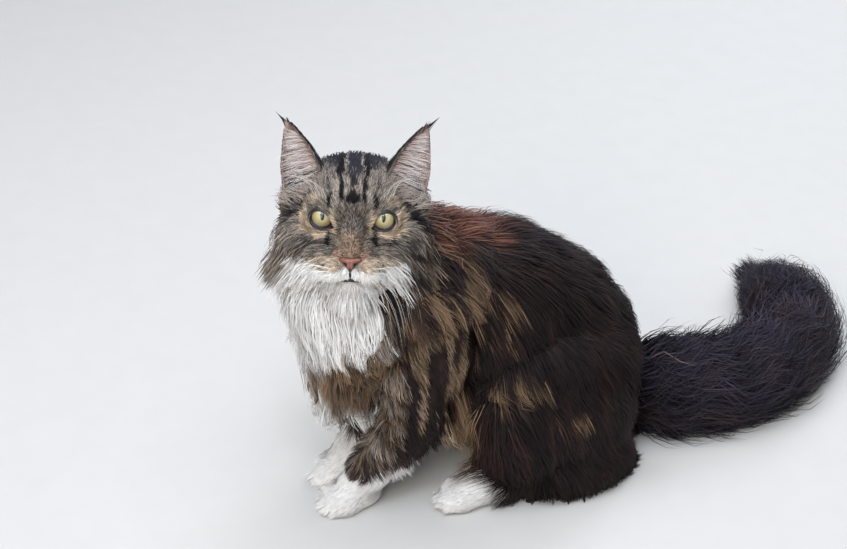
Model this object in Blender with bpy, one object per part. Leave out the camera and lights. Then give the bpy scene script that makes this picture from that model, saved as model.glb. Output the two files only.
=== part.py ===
"""A life-size sitting Maine Coon cat: the solids of its body and of its long coat, in metres.

The cat faces -Y and its left side is +X. The origin is on the floor, under the middle of the seat,
where the rump rests. The head is turned to the cat's left and lifted, as it looks up at someone.

Each node is a smooth core of flesh and short fur. Where the coat is long the core stands out from the
skin by less than half of the coat's depth, and tapered locks, sunk in the core, reach on to its tips.
"""

import math
import random
from dataclasses import dataclass

import bmesh
import bpy
from mathutils import Matrix, Vector
from mathutils.bvhtree import BVHTree

# Driving sizes of the animal
FRONT_PAWS = {"left": (0.029, -0.2300), "right": (-0.0125, -0.2245)}
HIND_PAWS = {"left": (0.067, -0.131), "right": (-0.070, -0.128)}
EYE_SPACING = 0.051
EYE_RADIUS = 0.0118
LID_OPENING = (0.0106, 0.0086)
LID_SLANT = 0.0014
LID_THICKNESS = 0.0016
NOSE_HALF_WIDTH = 0.0088
NOSE_HEIGHT = -0.034
EAR_LENGTH = 0.052
EAR_THICKNESS = 0.0022
TAIL_PLUME = 0.053
TAIL_FLESH = 0.010

# The head's place: the point between the eyes, and its turn, lift and roll
EYE_MIDPOINT = Vector((0.0455, -0.2325, 0.3250))
HEAD_YAW = math.radians(65.4)
HEAD_PITCH = math.radians(-25)
HEAD_ROLL = math.radians(1)

# Clearance between neighbouring nodes, around the locks, and between the lowest locks and the floor
GAP = 0.00035
LOCK_GAP = 0.0005
FLOOR_CLEARANCE = 0.0008
FLOOR_DEPTH = 0.05

# How much of a long coat's depth its core takes up
CORE_SHARE = 0.5

# The scatter of the locks: how many spots are tried, how near the outer surface a root must lie, how
# far a lock of one node keeps later roots from its middle, and how little distance along it counts
SEED = 7
ROOT_TRIES = 1500
SHOWS_WITHIN = 0.0004
OVERLAP = 0.5
LENGTHWISE = 0.62

# How much the locks vary, the length of one step as a lock's path is laid over the surface, and how far
# the lie must point out of the surface (as a cosine) for the lock to leave it
LOCK_SCALES = (0.88, 1.12)
LOCK_BEND = 0.3
CREEP = 0.006
LEAVES = 0.85
NEAR_ZERO = 1e-6

HEAD = (
    Matrix.Translation(EYE_MIDPOINT)
    @ Matrix.Rotation(HEAD_YAW, 4, "Z")
    @ Matrix.Rotation(HEAD_PITCH, 4, "X")
    @ Matrix.Rotation(HEAD_ROLL, 4, "Y")
)
HEAD_TURN = HEAD.to_3x3()
SIDES = {"left": 1, "right": -1}


@dataclass(frozen=True)
class LockKind:
    """Sizes of one kind of lock.

    lift is how far its tip stands off the core, sink is how deep its root lies in the core, and spacing
    is the least distance between two roots.
    """

    length: float
    half_width: float
    thickness: float
    lift: float
    sink: float
    spacing: float


BODY_LOCK = LockKind(0.088, 0.0188, 0.0080, 0.0120, 0.0060, 0.0302)
BREECHES_LOCK = LockKind(0.066, 0.0155, 0.0070, 0.0080, 0.0055, 0.0280)
RUFF_LOCK = LockKind(0.068, 0.0145, 0.0068, 0.0135, 0.0060, 0.0247)
BIB_LOCK = LockKind(0.074, 0.0125, 0.0062, 0.0150, 0.0060, 0.0225)
CHEEK_LOCK = LockKind(0.038, 0.0085, 0.0040, 0.0075, 0.0040, 0.0180)
FEATHER_LOCK = LockKind(0.040, 0.0085, 0.0042, 0.0075, 0.0040, 0.0250)
TAIL_LOCK = LockKind(0.084, 0.0195, 0.0110, 0.0120, 0.0070, 0.0295)
EAR_LOCK = LockKind(0.020, 0.0022, 0.0017, 0.0, 0.006, 0.0)

# Where along a lock its cross-sections stand, with their shares of its width and thickness
LOCK_STATIONS = ((0.22, 0.75, 0.90), (0.52, 1.0, 1.0), (0.82, 0.64, 0.60))


class Node:
    """A node while it is built: its core, the locks to join to it, and what it cuts from later nodes."""

    def __init__(self, core):
        self.core = core
        self.locks = []
        self.cutters = []

    def add_lock(self, path, kind, scale=1.0):
        """Adds a lock, and the slightly larger copy of it that cuts later nodes."""
        self.locks.append(lock(path, kind, scale))
        self.cutters.append(lock(path, kind, scale, LOCK_GAP))


class Coat:
    """What the locks of all the nodes share: the surface they lie on, their roots, and what they cover."""

    def __init__(self, envelope):
        self.envelope = envelope
        self.roots = []
        self.covered = []


def clear_scene():
    """Removes whatever the startup file holds."""
    for obj in list(bpy.data.objects):
        bpy.data.objects.remove(obj)


def principled(name, colour, roughness=0.85):
    """A Principled material with one colour."""
    material = bpy.data.materials.new(name)
    material.use_nodes = True
    shader = material.node_tree.nodes["Principled BSDF"]
    shader.inputs["Base Color"].default_value = (*colour, 1.0)
    shader.inputs["Roughness"].default_value = roughness
    shader.inputs["Metallic"].default_value = 0.0
    return material


def object_from(name, builder, material=None):
    """A scene object from a bmesh."""
    mesh = bpy.data.meshes.new(name)
    builder.to_mesh(mesh)
    builder.free()
    obj = bpy.data.objects.new(name, mesh)
    bpy.context.scene.collection.objects.link(obj)
    if material:
        mesh.materials.append(material)
    return obj


def copy_of(obj):
    """A second object of the same shape."""
    copy = obj.copy()
    copy.data = obj.data.copy()
    bpy.context.scene.collection.objects.link(copy)
    return copy


def add_ball(builder, centre, radii, turn=None, segments=24):
    """Adds an ellipsoid to a bmesh. turn is a rotation matrix about its centre."""
    place = Matrix.Translation(centre) @ (turn or Matrix.Identity(4)) @ Matrix.Diagonal((*radii, 1.0))
    bmesh.ops.create_uvsphere(
        builder, u_segments=segments, v_segments=segments // 2, radius=1.0, matrix=place
    )


def add_limb(builder, start, start_radius, end, end_radius, segments=20):
    """Adds a tapered limb with round ends: the hull of two balls."""
    limb = bmesh.new()
    add_ball(limb, start, (start_radius,) * 3, segments=segments)
    add_ball(limb, end, (end_radius,) * 3, segments=segments)
    hull = bmesh.ops.convex_hull(limb, input=limb.verts, use_existing_faces=False)
    inside = [v for v in hull["geom_interior"] if isinstance(v, bmesh.types.BMVert)]
    bmesh.ops.delete(limb, geom=inside, context="VERTS")
    kept = {f for f in hull["geom"] if isinstance(f, bmesh.types.BMFace)}
    bmesh.ops.delete(limb, geom=[f for f in limb.faces if f not in kept], context="FACES_ONLY")
    bmesh.ops.recalc_face_normals(limb, faces=limb.faces)
    scrap = bpy.data.meshes.new("limb")
    limb.to_mesh(scrap)
    limb.free()
    builder.from_mesh(scrap)
    bpy.data.meshes.remove(scrap)


def join_rings(builder, rings):
    """Adds the sides between closed rings of points, split alike, each ring having as many as the next."""
    for ring, following in zip(rings, rings[1:]):
        count = len(ring)
        for k in range(count):
            m = (k + 1) % count
            builder.faces.new((ring[k], ring[m], following[m]))
            builder.faces.new((ring[k], following[m], following[k]))


def apply_modifiers(obj):
    """Bakes an object's modifiers into its mesh."""
    graph = bpy.context.evaluated_depsgraph_get()
    baked = bpy.data.meshes.new_from_object(obj.evaluated_get(graph))
    obj.modifiers.clear()
    old = obj.data
    obj.data = baked
    bpy.data.meshes.remove(old)


def thin(obj, triangles, where=None):
    """Leaves an object about so many triangles, all over or only at the points that where names."""
    faces = obj.data.polygons
    every = sum(len(f.vertices) - 2 for f in faces)
    decimate = obj.modifiers.new("thin", "DECIMATE")
    if where:
        chosen = obj.vertex_groups.new(name="thinned")
        chosen.add([v.index for v in obj.data.vertices if where(v.co)], 1.0, "REPLACE")
        decimate.vertex_group = chosen.name
        triangles += sum(len(f.vertices) - 2 for f in faces if not where(f.center))
    decimate.ratio = min(1.0, triangles / every)
    apply_modifiers(obj)
    obj.vertex_groups.clear()


def melt(obj, voxel, smoothing, triangles):
    """Melts an object's overlapping closed shapes into one smooth skin of about so many triangles."""
    remesh = obj.modifiers.new("melt", "REMESH")
    remesh.mode = "VOXEL"
    remesh.voxel_size = voxel
    smooth = obj.modifiers.new("soften", "SMOOTH")
    smooth.factor = 0.5
    smooth.iterations = smoothing
    apply_modifiers(obj)
    thin(obj, triangles)


def boolean(obj, operation, others):
    """Joins the other objects to obj, or cuts them from it, in one go. The others are then removed."""
    group = bpy.data.collections.new("tools")
    for other in others:
        group.objects.link(other)
    modifier = obj.modifiers.new("boolean", "BOOLEAN")
    modifier.operation = operation
    modifier.operand_type = "COLLECTION"
    modifier.collection = group
    modifier.solver = "MANIFOLD"
    apply_modifiers(obj)
    for other in others:
        bpy.data.objects.remove(other)
    bpy.data.collections.remove(group)


def keep_largest(obj):
    """Keeps only the closed surface that holds the most."""
    builder = bmesh.new()
    builder.from_mesh(obj.data)
    unseen = set(builder.faces)
    best, most = set(), -1.0
    while unseen:
        todo = [unseen.pop()]
        shell = set(todo)
        while todo:
            neighbours = [edge.link_faces for edge in todo.pop().edges if len(edge.link_faces) == 2]
            for face in {face for pair in neighbours for face in pair} & unseen:
                unseen.discard(face)
                shell.add(face)
                todo.append(face)
        volume = sum(f.calc_area() * f.normal.dot(f.calc_center_median()) / 3 for f in shell)
        if volume > most:
            best, most = shell, volume
    loose = [f for f in builder.faces if f not in best]
    bmesh.ops.delete(builder, geom=loose, context="FACES")
    bmesh.ops.triangulate(builder, faces=builder.faces)
    builder.to_mesh(obj.data)
    builder.free()


def grown(obj, by):
    """A copy of an object with its surface moved outwards."""
    copy = copy_of(obj)
    swell = copy.modifiers.new("swell", "DISPLACE")
    swell.strength = by
    swell.mid_level = 0.0
    apply_modifiers(copy)
    return copy


def box_of(obj):
    """The lowest and highest corners of an object's mesh."""
    points = [v.co for v in obj.data.vertices]
    return [Vector(extreme(p[k] for p in points) for k in range(3)) for extreme in (min, max)]


def boxes_meet(one, other):
    """Whether two boxes share any space."""
    return all(one[0][k] < other[1][k] and other[0][k] < one[1][k] for k in range(3))


def cut_apart(nodes):
    """Cuts each node clear of all the ones before it that it meets, across the gap."""
    cutters = []
    for node in nodes:
        obj = node.core
        box = box_of(obj)
        met = [copy_of(cutter) for cutter, reach in cutters if boxes_meet(box, reach)]
        if met:
            boolean(obj, "DIFFERENCE", met)
        keep_largest(obj)
        cutters += [(cutter, box_of(cutter)) for cutter in node.cutters]
    for cutter, _ in cutters:
        bpy.data.objects.remove(cutter)


def cut_floor(obj):
    """Flattens whatever an object has below the floor."""
    place = Matrix.Translation((0, 0, -FLOOR_DEPTH)) @ Matrix.Diagonal((2, 2, 2 * FLOOR_DEPTH, 1))
    builder = bmesh.new()
    bmesh.ops.create_cube(builder, size=1.0, matrix=place)
    boolean(obj, "DIFFERENCE", [object_from("floor_block", builder)])
    keep_largest(obj)


def flat_on(direction, normal):
    """A direction laid flat on the surface that has this normal."""
    return (direction - normal * direction.dot(normal)).normalized()


def triangles_of(obj):
    """An object's triangles, always in the same order."""
    obj.data.calc_loop_triangles()
    return sorted(obj.data.loop_triangles, key=lambda t: [round(c, 4) for c in t.center])


def surface_at(envelope, near):
    """The envelope's nearest point, and its outward normal there."""
    point, normal, _, _ = envelope.find_nearest(near)
    return point, normal


def lock_shares():
    """Where the stations of a lock stand, from its root to its tip, in shares of its length."""
    return [0.0] + [station[0] for station in LOCK_STATIONS] + [1.0]


def lock_path(start, kind, lie, envelope, scale, bend):
    """The stations of a lock, each with the envelope's normal under it.

    The lock creeps over the envelope along the lie of the coat, turning by bend on the way, while it
    rises from its sunk root to its lifted tip, steeply at first. It goes on straight where the surface
    turns away from under it.
    """
    point, normal = start
    length = kind.length * scale
    walked = 0.0
    path = []
    for share in lock_shares():
        while walked < share * length - NEAR_ZERO:
            step = min(CREEP, share * length - walked)
            heading = lie(point, normal).normalized()
            if heading.dot(normal) > LEAVES:
                point = point + heading * step
            else:
                along = Matrix.Rotation(bend * walked / length, 3, normal) @ flat_on(heading, normal)
                point, normal = surface_at(envelope, point + along * step)
            walked += step
        rise = (kind.sink + kind.lift) * (1 - (1 - share) ** 3) - kind.sink
        path.append((point + normal * rise, normal.copy()))
    return path


def lock_ring(builder, centre, across, up, half_width, thickness, grow):
    """Adds one cross-section of a lock: flat below, with a crest above. grow moves its sides out.

    A section that would reach below the floor's clearance is lifted clear of it.
    """
    lowest = centre.z - abs(across.z) * half_width
    centre = centre + Vector((0, 0, max(0.0, FLOOR_CLEARANCE - min(lowest, centre.z + up.z * thickness))))
    slope = math.atan2(thickness, half_width)
    reach = half_width + min(grow / math.tan(slope / 2), 8 * grow)
    low = centre - up * grow
    corners = (low - across * reach, low + across * reach, centre + up * (thickness + grow / math.cos(slope)))
    return [builder.verts.new(corner) for corner in corners]


def lock(path, kind, scale=1.0, grow=0.0):
    """One flat, tapered lock along a path, as a closed mesh."""
    builder = bmesh.new()
    rings = []
    for k, (_, wide, thick) in enumerate(LOCK_STATIONS, start=1):
        centre, normal = path[k]
        along = (path[k + 1][0] - path[k - 1][0]).normalized()
        across = along.cross(normal).normalized()
        half_width, thickness = kind.half_width * wide * scale, kind.thickness * thick * scale
        rings.append(lock_ring(builder, centre, across, across.cross(along), half_width, thickness, grow))
    join_rings(builder, rings)
    for ring, end, inner in ((rings[0], path[0][0], path[1][0]), (rings[-1], path[-1][0], path[-2][0])):
        point = Vector((end.x, end.y, max(end.z, FLOOR_CLEARANCE)))
        tip = builder.verts.new(point + (end - inner).normalized() * grow * 3)
        for k in range(3):
            builder.faces.new((ring[k], ring[(k + 1) % 3], tip))
    bmesh.ops.recalc_face_normals(builder, faces=builder.faces)
    bmesh.ops.triangulate(builder, faces=builder.faces)
    return object_from("lock", builder)


def room_between(point, root, along):
    """How far a point lies from a root, where distance along the lock that grows there counts for less."""
    offset = point - root
    lengthwise = offset.dot(along)
    return math.sqrt(max(0.0, offset.length_squared - lengthwise**2) + (LENGTHWISE * lengthwise) ** 2)


def scatter(obj, coat, spacing, lie, allowed, draw):
    """Roots spread evenly over the part of an object's surface that shows and where allowed says yes.

    Each root is the one of many random points that has the most room from the roots before it.
    """
    triangles = triangles_of(obj)
    corners = [[obj.data.vertices[v].co for v in t.vertices] for t in triangles]
    areas = [t.area for t in triangles]
    spots = []
    for a, b, c in draw.choices(corners, areas, k=ROOT_TRIES):
        u, v = sorted((draw.random(), draw.random()))
        point = a * u + b * (v - u) + c * (1 - v)
        surface, normal = surface_at(coat.envelope, point)
        if (surface - point).length < SHOWS_WITHIN and allowed(point, normal):
            room = min([room_between(point, *root) for root in coat.roots], default=1.0)
            under = min([(point - spot).length / OVERLAP for spot in coat.covered], default=1.0)
            spots.append([min(room, under), point, normal])
    roots = []
    while spots:
        room, root, normal = max(spots, key=lambda spot: spot[0])
        if room < spacing:
            break
        roots.append((root, normal))
        along = flat_on(lie(root, normal), normal)
        coat.roots.append((root, along))
        for spot in spots:
            spot[0] = min(spot[0], room_between(spot[1], root, along))
    return roots


def grow_locks(node, kind, lie, allowed, coat, draw):
    """Covers the allowed part of a node with locks of one kind."""
    covered = []
    for root in scatter(node.core, coat, kind.spacing, lie, allowed, draw):
        scale = draw.uniform(*LOCK_SCALES)
        path = lock_path(root, kind, lie, coat.envelope, scale, draw.uniform(-LOCK_BEND, LOCK_BEND))
        node.add_lock(path, kind, scale)
        covered += [point for point, _ in path[2:-1]]
    coat.covered += covered


def long_coat(depth):
    """How far the core stands out from the skin where locks make up the rest of the coat's depth."""
    return depth * CORE_SHARE


def tilt(degrees):
    """A turn about the left-right axis. Positive lifts the front."""
    return Matrix.Rotation(math.radians(-degrees), 4, "X")


# The trunk's forms: centre, radii of the flesh, tilt in degrees, depth of the coat
TORSO_FORMS = (
    ((0, -0.006, 0.074), (0.062, 0.056, 0.070), 0, 0.020),
    ((0, -0.034, 0.132), (0.060, 0.060, 0.070), 40, 0.021),
    ((0, -0.084, 0.170), (0.058, 0.070, 0.072), 30, 0.022),
    ((0, -0.130, 0.204), (0.044, 0.050, 0.054), 0, 0.022),
    ((0, -0.176, 0.168), (0.046, 0.044, 0.066), 10, 0.018),
    ((0, -0.170, 0.110), (0.040, 0.038, 0.034), 0, 0.016),
    ((0, -0.075, 0.088), (0.052, 0.082, 0.050), 10, 0.022),
)


# How far to the front the neck's surface faces where the bib begins, and its lowest roots
BIB_EDGE = -0.35
BIB_LAST_ROOT = 0.0


def torso(material):
    """The trunk: pelvis, loin, ribs, withers, chest and belly."""
    builder = bmesh.new()
    for centre, radii, lift, depth in TORSO_FORMS:
        add_ball(builder, centre, [r + long_coat(depth) for r in radii], tilt(lift))
    obj = object_from("torso", builder, material)
    melt(obj, 0.006, 14, 520)
    cut_floor(obj)
    return obj


def neck(material):
    """The neck, the core of the ruff around it, and of the bib down the chest."""
    builder = bmesh.new()
    nape, skull_base = (0, -0.155, 0.210), (0.006, -0.196, 0.262)
    add_limb(builder, nape, 0.044 + long_coat(0.024), skull_base, 0.040 + long_coat(0.022))
    throat = (0.050 + long_coat(0.024), 0.040 + long_coat(0.030), 0.056 + long_coat(0.022))
    add_ball(builder, (0.006, -0.222, 0.232), throat)
    bib = (0.036 + long_coat(0.022), 0.026 + long_coat(0.034), 0.040 + long_coat(0.034))
    add_ball(builder, (0.000, -0.225, 0.175), bib)
    obj = object_from("neck", builder, material)
    melt(obj, 0.006, 12, 320)
    return obj


def in_head(x, y, z):
    """A point of the head's own frame, whose origin is between the eyes and whose face looks along -Y."""
    return HEAD @ Vector((x, y, z))


def head_ball(builder, centre, radii, segments=24):
    """Adds a ball placed in the head's frame."""
    add_ball(builder, in_head(*centre), radii, HEAD_TURN.to_4x4(), segments)


def eye_centre(side):
    """The middle of an eyeball, in the head's frame."""
    return Vector((side * EYE_SPACING / 2, EYE_RADIUS - 0.0012, 0.0))


def eye(name, side, material):
    """An eyeball."""
    builder = bmesh.new()
    head_ball(builder, eye_centre(side), (EYE_RADIUS,) * 3, segments=12)
    return object_from(name, builder, material)


def surface_in_front(tree, x, z):
    """Where a line straight back through (x, z) of the head's frame first meets the face."""
    return tree.ray_cast(in_head(x, -0.08, z), HEAD_TURN @ Vector((0, 1, 0)))[0]


def tube(name, points, radius, sides=6):
    """A closed tube of one radius along points, with pointed ends."""
    builder = bmesh.new()
    rings = []
    across = (points[1] - points[0]).orthogonal()
    for i, point in enumerate(points):
        before, after = points[max(0, i - 1)], points[min(len(points) - 1, i + 1)]
        along = (after - before).normalized()
        across = flat_on(across, along)
        third = along.cross(across)
        angles = [2 * math.pi * k / sides for k in range(sides)]
        spokes = [(across * math.cos(a) + third * math.sin(a)) * radius for a in angles]
        rings.append([builder.verts.new(point + spoke) for spoke in spokes])
    join_rings(builder, rings)
    for ring, end, inner in ((rings[0], points[0], points[1]), (rings[-1], points[-1], points[-2])):
        point = builder.verts.new(end + (end - inner).normalized() * radius)
        for k in range(sides):
            builder.faces.new((ring[k], ring[(k + 1) % sides], point))
    bmesh.ops.recalc_face_normals(builder, faces=builder.faces)
    return object_from(name, builder)


def lid_rim(side):
    """The lids: a rim around the almond opening, lying on the eyeball."""
    middle = HEAD @ eye_centre(side)
    steps, sides = 16, 5
    points = []
    for k in range(steps):
        a = 2 * math.pi * k / steps
        x = LID_OPENING[0] * math.cos(a)
        z = LID_OPENING[1] * math.sin(a) + LID_SLANT * side * math.cos(a)
        y = -math.sqrt(max(1e-8, EYE_RADIUS**2 - x * x - z * z))
        points.append(middle + HEAD_TURN @ Vector((x, y, z)))
    builder = bmesh.new()
    rings = []
    for k, point in enumerate(points):
        along = (points[(k + 1) % steps] - points[k - 1]).normalized()
        out = (point - middle).normalized()
        across = along.cross(out)
        angles = [2 * math.pi * j / sides for j in range(sides)]
        spokes = [(out * math.cos(a) + across * math.sin(a)) * LID_THICKNESS for a in angles]
        rings.append([builder.verts.new(point + spoke) for spoke in spokes])
    join_rings(builder, rings + rings[:1])
    bmesh.ops.recalc_face_normals(builder, faces=builder.faces)
    return object_from("lid", builder)


def eye_opening(side):
    """The hollow in front of the eyeball, between the lids."""
    builder = bmesh.new()
    in_front = eye_centre(side) - Vector((0, EYE_RADIUS, 0))
    margin = 0.9 * LID_THICKNESS
    head_ball(builder, in_front, (LID_OPENING[0] + margin, EYE_RADIUS, LID_OPENING[1] + margin), segments=14)
    return object_from("eye_opening", builder)


# The head's forms in its own frame: centre, radii with their short fur, whether there are two
HEAD_FORMS = (
    ((0.000, 0.046, 0.012), (0.050, 0.056, 0.042), False),
    ((0.000, 0.032, -0.004), (0.044, 0.032, 0.033), False),
    ((0.000, -0.006, -0.051), (0.015, 0.015, 0.012), False),
    ((0.000, 0.020, -0.040), (0.030, 0.034, 0.022), False),
    ((0.036, 0.038, -0.018), (0.028, 0.030, 0.028), True),
    ((0.0125, -0.012, -0.0405), (0.0155, 0.017, 0.013), True),
    ((0.0235, 0.013, 0.0160), (0.017, 0.012, 0.008), True),
    ((0.0205, 0.013, -0.0160), (0.015, 0.012, 0.008), True),
    ((0.024, 0.030, -0.034), (0.024, 0.030, 0.022), True),
    ((0.042, 0.044, 0.008), (0.021, 0.025, 0.025), True),
)
FACE_DEPTH = 0.024


def head(material):
    """The skull under its short coat, with cheeks, muzzle, chin, brows, lids, mouth and lips."""
    builder = bmesh.new()
    for (x, y, z), radii, paired in HEAD_FORMS:
        for side in SIDES.values() if paired else (1,):
            head_ball(builder, (side * x, y, z), radii)
    add_limb(builder, in_head(0, 0.016, -0.026), 0.023, in_head(0, -0.013, -0.036), 0.0145)
    add_limb(builder, in_head(0, 0.012, 0.014), 0.011, in_head(0, -0.0185, -0.0275), 0.0082)
    obj = object_from("head", builder, material)
    melt(obj, 0.0026, 5, 2150)
    thin(obj, 220, lambda point: (HEAD.inverted() @ point).y > FACE_DEPTH)
    boolean(obj, "DIFFERENCE", [eye_opening(side) for side in SIDES.values()])
    boolean(obj, "UNION", [lid_rim(side) for side in SIDES.values()])
    cut_mouth(obj)
    return obj


def cut_mouth(obj):
    """Rolls the lower lip, and cuts the line of the mouth and the groove up to the nose."""
    tree = BVHTree.FromObject(obj, bpy.context.evaluated_depsgraph_get())
    mouth = []
    for k in range(-4, 5):
        droop = 0.0018 * math.sin(min(1, abs(k) / 3) * math.pi / 2) - 0.0004 * abs(k)
        mouth.append(surface_in_front(tree, k * 0.0038, -0.0462 - droop))
    groove = [surface_in_front(tree, 0, z) for z in (-0.0405, -0.0430, -0.0465)]
    lip = [point + HEAD_TURN @ Vector((0, 0.0006, -0.0018)) for point in mouth[1:-1]]
    boolean(obj, "UNION", [tube("lip", lip, 0.0017)])
    boolean(obj, "DIFFERENCE", [tube("mouth", mouth, 0.0009, 5), tube("groove", groove, 0.0008, 5)])
    keep_largest(obj)


# Half of the nose leather's outline, from the middle of its top to its foot, in shares of its size
NOSE_OUTLINE = ((0, 0.92), (0.6, 1), (1, 0.75), (0.92, 0.1), (0.42, -0.45), (0.14, -1))


def nose(material, face):
    """The nose leather: a rounded triangle on the front of the muzzle, with two nostrils."""
    tree = BVHTree.FromObject(face, bpy.context.evaluated_depsgraph_get())
    front_y = (HEAD.inverted() @ surface_in_front(tree, 0, NOSE_HEIGHT)).y
    outline = list(NOSE_OUTLINE) + [(-x, z) for x, z in reversed(NOSE_OUTLINE) if x]
    builder = bmesh.new()
    front, back = [], []
    for x, z in outline:
        height = NOSE_HEIGHT + z * (0.0042 if z > 0 else 0.0062)
        y = front_y + 0.0045 * x * x
        front.append(builder.verts.new(in_head(x * NOSE_HALF_WIDTH, y - 0.0012, height)))
        back.append(builder.verts.new(in_head(x * NOSE_HALF_WIDTH * 0.9, y + 0.0060, height)))
    join_rings(builder, [front, back])
    for ring, y in ((front, front_y - 0.0022), (back, front_y + 0.0068)):
        middle = builder.verts.new(in_head(0, y, NOSE_HEIGHT))
        for k in range(len(ring)):
            builder.faces.new((ring[k], ring[k - 1], middle))
    bmesh.ops.recalc_face_normals(builder, faces=builder.faces)
    obj = object_from("nose", builder, material)
    holes = bmesh.new()
    for side in SIDES.values():
        place = in_head(side * 0.0046, front_y - 0.0006, NOSE_HEIGHT - 0.0012)
        turn = HEAD_TURN.to_4x4() @ Matrix.Rotation(side * math.radians(35), 4, "Y")
        add_ball(holes, place, (0.0019, 0.0030, 0.0012), turn, segments=8)
    boolean(obj, "DIFFERENCE", [object_from("nostrils", holes)])
    keep_largest(obj)
    return obj


def ear_frame(side):
    """The ear's own frame: origin at its base, Z to the tip, the cup open to -Y."""
    base = Vector((side * 0.0415, 0.034, 0.032))
    tip = Vector((side * 0.0590, 0.050, 0.077))
    up = (tip - base).normalized()
    back = flat_on(Vector((side * -0.42, 1, -0.10)), up)
    across = back.cross(up)
    return HEAD @ Matrix.Translation(base) @ Matrix((across, back, up)).transposed().to_4x4()


def ear_point(height, turn, inset=0):
    """A point of the ear's shell, height 0 to 1 from base to tip and turn -1 to 1 from edge to edge."""
    half = 0.0195 * (1 - height**1.25) ** 0.9 + 0.0012
    depth = 0.0165 * (1 - height) ** 0.8 + 0.0016
    angle = turn * math.radians(112 - 30 * height)
    wall = EAR_THICKNESS / 2 * inset
    return Vector((
        (half + wall) * math.sin(angle),
        (depth + wall) * math.cos(angle) - depth * 0.35,
        height * (EAR_LENGTH + wall) - 0.004,
    ))


def ear(name, side, material):
    """The ear's cup: a thin shell, open to the front."""
    rows, columns = 7, 8
    builder = bmesh.new()
    frame = ear_frame(side)
    back, front = [], []
    for wall, inset in ((back, 1), (front, -1)):
        for i in range(rows + 1):
            points = [ear_point(i / rows, 2 * j / columns - 1, inset) for j in range(columns + 1)]
            wall.append([builder.verts.new(frame @ point) for point in points])
    for grid in (back, front):
        for i in range(rows):
            for j in range(columns):
                builder.faces.new((grid[i][j], grid[i][j + 1], grid[i + 1][j + 1], grid[i + 1][j]))
    rim = [(i, 0) for i in range(rows)] + [(rows, j) for j in range(columns)]
    rim += [(i, columns) for i in range(rows, 0, -1)] + [(0, j) for j in range(columns, 0, -1)]
    for (i, j), (m, n) in zip(rim, rim[1:] + rim[:1]):
        builder.faces.new((back[i][j], back[m][n], front[m][n], front[i][j]))
    bmesh.ops.recalc_face_normals(builder, faces=builder.faces)
    bmesh.ops.triangulate(builder, faces=builder.faces)
    return object_from(name, builder, material)


def wrist(name):
    """Where a foreleg meets its paw."""
    x, y = FRONT_PAWS[name.split("_")[1]]
    return Vector((x + 0.002, y + 0.014, 0.040))


def foreleg(name, side, material):
    """Shoulder, upper arm and forearm down to the wrist."""
    builder = bmesh.new()
    fur = 0.007
    shoulder = Vector((side * 0.044, -0.182, 0.150))
    elbow = Vector((side * 0.043, -0.174, 0.101))
    blade = (0.024 + fur, 0.038 + fur, 0.056 + fur)
    add_ball(builder, (side * 0.042, -0.160, 0.175), blade, tilt(-10))
    add_limb(builder, shoulder, 0.028 + fur, elbow, 0.024 + fur)
    add_limb(builder, elbow, 0.023 + fur, wrist(name), 0.0190)
    obj = object_from(name, builder, material)
    melt(obj, 0.005, 5, 230)
    return obj


def paw_forms(builder, x, y, turn, width):
    """Adds four toes and the pad behind them, on the floor."""
    place = Matrix.Translation((x, y, 0)) @ Matrix.Rotation(turn, 4, "Z")
    add_ball(builder, place @ Vector((0, 0.010, 0.014)), (width * 0.80 + 0.004, 0.024, 0.018))
    for k in range(4):
        across = (k - 1.5) / 1.5
        toe = place @ Vector((across * width * 0.68, 0.006 * across * across - 0.014, 0.0105))
        add_ball(builder, toe, (width * 0.33 + 0.0016, 0.0145, 0.0121), Matrix.Rotation(turn, 4, "Z"))


def forepaw(name, side, material):
    """A front paw, from the wrist to the toes."""
    builder = bmesh.new()
    x, y = FRONT_PAWS[name.split("_")[1]]
    add_limb(builder, wrist(name), 0.0190, (x, y, 0.018), 0.0195)
    paw_forms(builder, x, y - 0.006, side * math.radians(8), 0.0195)
    obj = object_from(name, builder, material)
    melt(obj, 0.0026, 3, 380)
    cut_floor(obj)
    return obj


def thigh(name, side, material):
    """The core of the folded hind leg: thigh and shank, out to where the breeches reach the floor."""
    builder = bmesh.new()
    fur = long_coat(0.016)
    hip = Vector((side * 0.040, 0, 0.100))
    knee = Vector((side * 0.057, -0.083, 0.077))
    hock = Vector((side * 0.062, 0, 0.034))
    add_limb(builder, hip, 0.042 + fur, knee, 0.030 + fur)
    add_limb(builder, knee, 0.028 + fur, hock, 0.024 + fur)
    add_ball(builder, (side * 0.061, -0.030, 0.066), (0.028 + fur, 0.062 + fur, 0.054 + fur))
    add_ball(builder, (side * 0.064, -0.026, 0.016), (0.036 + fur, 0.062 + fur, 0.024))
    obj = object_from(name, builder, material)
    melt(obj, 0.005, 6, 280)
    cut_floor(obj)
    return obj


def hindfoot(name, side, material):
    """The long hind foot, flat on the floor from hock to toes."""
    builder = bmesh.new()
    x, y = HIND_PAWS[name.split("_")[1]]
    add_limb(builder, (side * 0.062, 0.000, 0.017), 0.0190, (x, y + 0.016, 0.016), 0.0195)
    paw_forms(builder, x, y, side * math.radians(-4), 0.0195)
    obj = object_from(name, builder, material)
    melt(obj, 0.0028, 3, 360)
    cut_floor(obj)
    return obj


# The middle of the tail's plume, and the lengths that it is built in
TAIL_ROUTE = (
    (0.000, 0.026, 0.056),
    (0.014, 0.084, 0.050),
    (0.030, 0.136, 0.034),
    (0.032, 0.188, 0.034),
    (0.018, 0.238, 0.034),
    (-0.014, 0.280, 0.036),
    (-0.058, 0.302, 0.040),
    (-0.104, 0.304, 0.046),
)
TAIL_LENGTHS = (("tail_root", 0, 2), ("tail_middle", 2, 5), ("tail_tip", 5, 7))
TAIL_LAST_ROOT = -0.080


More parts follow.
